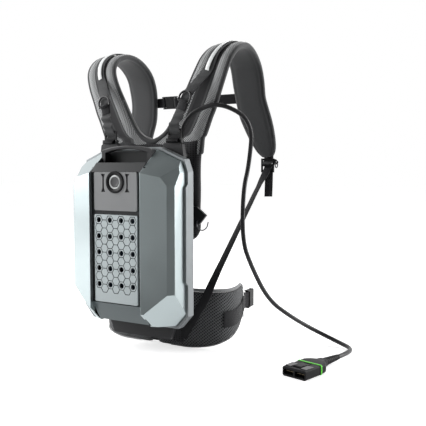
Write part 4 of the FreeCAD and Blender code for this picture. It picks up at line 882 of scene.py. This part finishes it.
def swell(pad):
    """Moves the pad's mesh part of the way that cloth under pressure would go."""
    cloth = pad.modifiers.new("cloth", "CLOTH")
    cloth.settings.quality = 4
    cloth.settings.mass = 0.3
    cloth.settings.use_pressure = True
    cloth.settings.uniform_pressure_force = PAD_PRESSURE
    cloth.settings.effector_weights.gravity = 0
    cloth.collision_settings.use_collision = False
    for step in PAD_FRAMES:
        scene.frame_set(step)
    shaped = bpy.data.meshes.new_from_object(pad.evaluated_get(bpy.context.evaluated_depsgraph_get()))
    moved = [vertex.co.copy() for vertex in shaped.vertices]
    pad.modifiers.clear()
    scene.frame_set(1)
    bpy.data.meshes.remove(shaped)
    for vertex, now in zip(pad.data.vertices, moved):
        shift = now - vertex.co
        vertex.co += shift * min(1.0, PAD_CAP / max(shift.length, 1e-9)) * PAD_SHARE


def puffed(name, node):
    mesh = clean_copy(name, node)
    pad = new_piece(name, mesh, [PAD_MESH], [node])
    bpy.context.view_layer.objects.active = pad
    mesh.remesh_voxel_size = PAD_VOXEL
    with bpy.context.temp_override(active_object=pad, object=pad, selected_objects=[pad]):
        bpy.ops.object.voxel_remesh()
    swell(pad)
    if not mesh.materials:
        mesh.materials.append(PAD_MESH)
    smooth = pad.modifiers.new("smooth", "SMOOTH")
    smooth.factor = 0.5
    smooth.iterations = 6
    smoothed(mesh)


puffed("back_cushion", "back_pad")
puffed("lumbar_cushion", "lumbar_pad")


# Studio: a white background that lights the object only a little, and dark flags and cards that gloss shows
# and the camera doesn't. A flag is a profile of (radius, level) carried round the object between two azimuths
# in degrees, and a card is given by its half side and its place.
FILL = 0.36
FLOOR_LIFT = 0.66
FLOOR_HALF, FLOOR_DROP = 14, 0.0005
FLAG_PROFILE = ((2.4, 0.02), (2.4, 1.6), (1.8, 2.3), (0.8, 2.7))
FLAG_STEP = 4
DARK_FLAG, GREY_FLAG = (22, 90), (-22, 22)
CEILING_CARD, FLOOR_CARD = (1.1, (0.1, -0.2, 2.75)), (0.93, (0.65, -1.18, 0.001))


def area_light(name, place, aim, size, power):
    data = bpy.data.lights.new(name, "AREA")
    data.shape = "RECTANGLE"
    data.size, data.size_y = size
    data.energy = power
    lamp = bpy.data.objects.new(name, data)
    scene.collection.objects.link(lamp)
    lamp.location = place
    lamp.rotation_mode = "QUATERNION"
    lamp.rotation_quaternion = (Vector(aim) - Vector(place)).to_track_quat("-Z", "Y")


def background_rays(tree):
    """1 for rays that look at the background: straight, in gloss or through something clear."""
    rays = add_node(tree, "ShaderNodeLightPath")
    sight = add_node(tree, "ShaderNodeMath", operation="MAXIMUM")
    link(tree, rays, "Is Camera Ray", sight, 0)
    link(tree, rays, "Is Glossy Ray", sight, 1)
    both_rays = add_node(tree, "ShaderNodeMath", operation="MAXIMUM")
    link(tree, sight, 0, both_rays, 0)
    link(tree, rays, "Is Transmission Ray", both_rays, 1)
    return both_rays


def ranged(tree, source, low, high):
    spread = add_node(tree, "ShaderNodeMapRange")
    spread.inputs["To Min"].default_value = low
    spread.inputs["To Max"].default_value = high
    link(tree, source, 0, spread, "Value")
    return spread


def stage_piece(name, made, material):
    mesh = bpy.data.meshes.new(name)
    made.to_mesh(mesh)
    made.free()
    mesh.materials.append(material)
    thing = bpy.data.objects.new(name, mesh)
    scene.collection.objects.link(thing)
    return thing


def make_floor():
    material, tree, bsdf = new_material("floor_paper")
    paper = noise_at(tree, 3, 2)
    shade_between(tree, bsdf, paper, "Fac", (0.86, 0.86, 0.86), (0.88, 0.88, 0.88))
    bsdf.inputs["Roughness"].default_value = 0.9
    bsdf.inputs["Specular IOR Level"].default_value = 0.1
    bsdf.inputs["Emission Color"].default_value = (1, 1, 1, 1)
    lift = ranged(tree, background_rays(tree), 0, FLOOR_LIFT)
    link(tree, lift, "Result", bsdf, "Emission Strength")
    made = bmesh.new()
    bmesh.ops.create_grid(made, x_segments=2, y_segments=2, size=FLOOR_HALF)
    stage_piece("studio_floor", made, material).location = (0, 0, -FLOOR_DROP)


def card_cloth(name, dark, light):
    material, tree, bsdf = new_material(name)
    cloth = noise_at(tree, 40, 2)
    shade_between(tree, bsdf, cloth, "Fac", (dark,) * 3, (light,) * 3)
    bsdf.inputs["Roughness"].default_value = 0.95
    return material


def make_flag(name, azimuths, material):
    """A curved card round the camera's side. The camera doesn't see it, but gloss does."""
    made = bmesh.new()
    columns = []
    for turn in range(azimuths[0], azimuths[1] + 1, FLAG_STEP):
        angle = math.radians(turn)
        columns.append([made.verts.new((math.sin(angle) * radius, -math.cos(angle) * radius, level))
                        for radius, level in FLAG_PROFILE])
    for start, end in zip(columns, columns[1:]):
        for a, b, c, d in zip(start, start[1:], end[1:], end):
            made.faces.new((a, d, c, b))
    stage_piece(name, made, material).visible_camera = False


def make_card(name, size, place, material):
    """A flat card that only gloss shows."""
    made = bmesh.new()
    bmesh.ops.create_grid(made, x_segments=2, y_segments=2, size=size)
    card = stage_piece(name, made, material)
    card.location = place
    card.visible_camera = card.visible_diffuse = card.visible_shadow = False


def make_world():
    world = bpy.data.worlds.new("studio_world")
    scene.world = world
    world.use_nodes = True
    tree = world.node_tree
    backdrop = tree.nodes["Background"]
    backdrop.inputs["Color"].default_value = (1, 1, 1, 1)
    link(tree, ranged(tree, background_rays(tree), FILL, 1), "Result", backdrop, "Strength")
    scene.view_settings.view_transform = "Standard"


make_floor()
dark_cloth = card_cloth("flag_cloth", 0.03, 0.045)
make_flag("studio_flag", DARK_FLAG, dark_cloth)
make_flag("studio_grey_flag", GREY_FLAG, card_cloth("flag_grey_cloth", 0.23, 0.27))
make_card("studio_ceiling_card", *CEILING_CARD, dark_cloth)
make_card("studio_floor_card", *FLOOR_CARD, dark_cloth)
make_world()
area_light("key_left", (-1.72, -0.85, 1.25), aim=(0, -0.1, 0.3), size=(1.5, 1.8), power=58)
area_light("side_right", (1.9, 1.4, 0.9), aim=(0.1, 0, 0.35), size=(1.0, 1.6), power=42)
area_light("top_back", (-0.2, 1.7, 2.1), aim=(0, 0, 0.5), size=(1.4, 1.0), power=22)
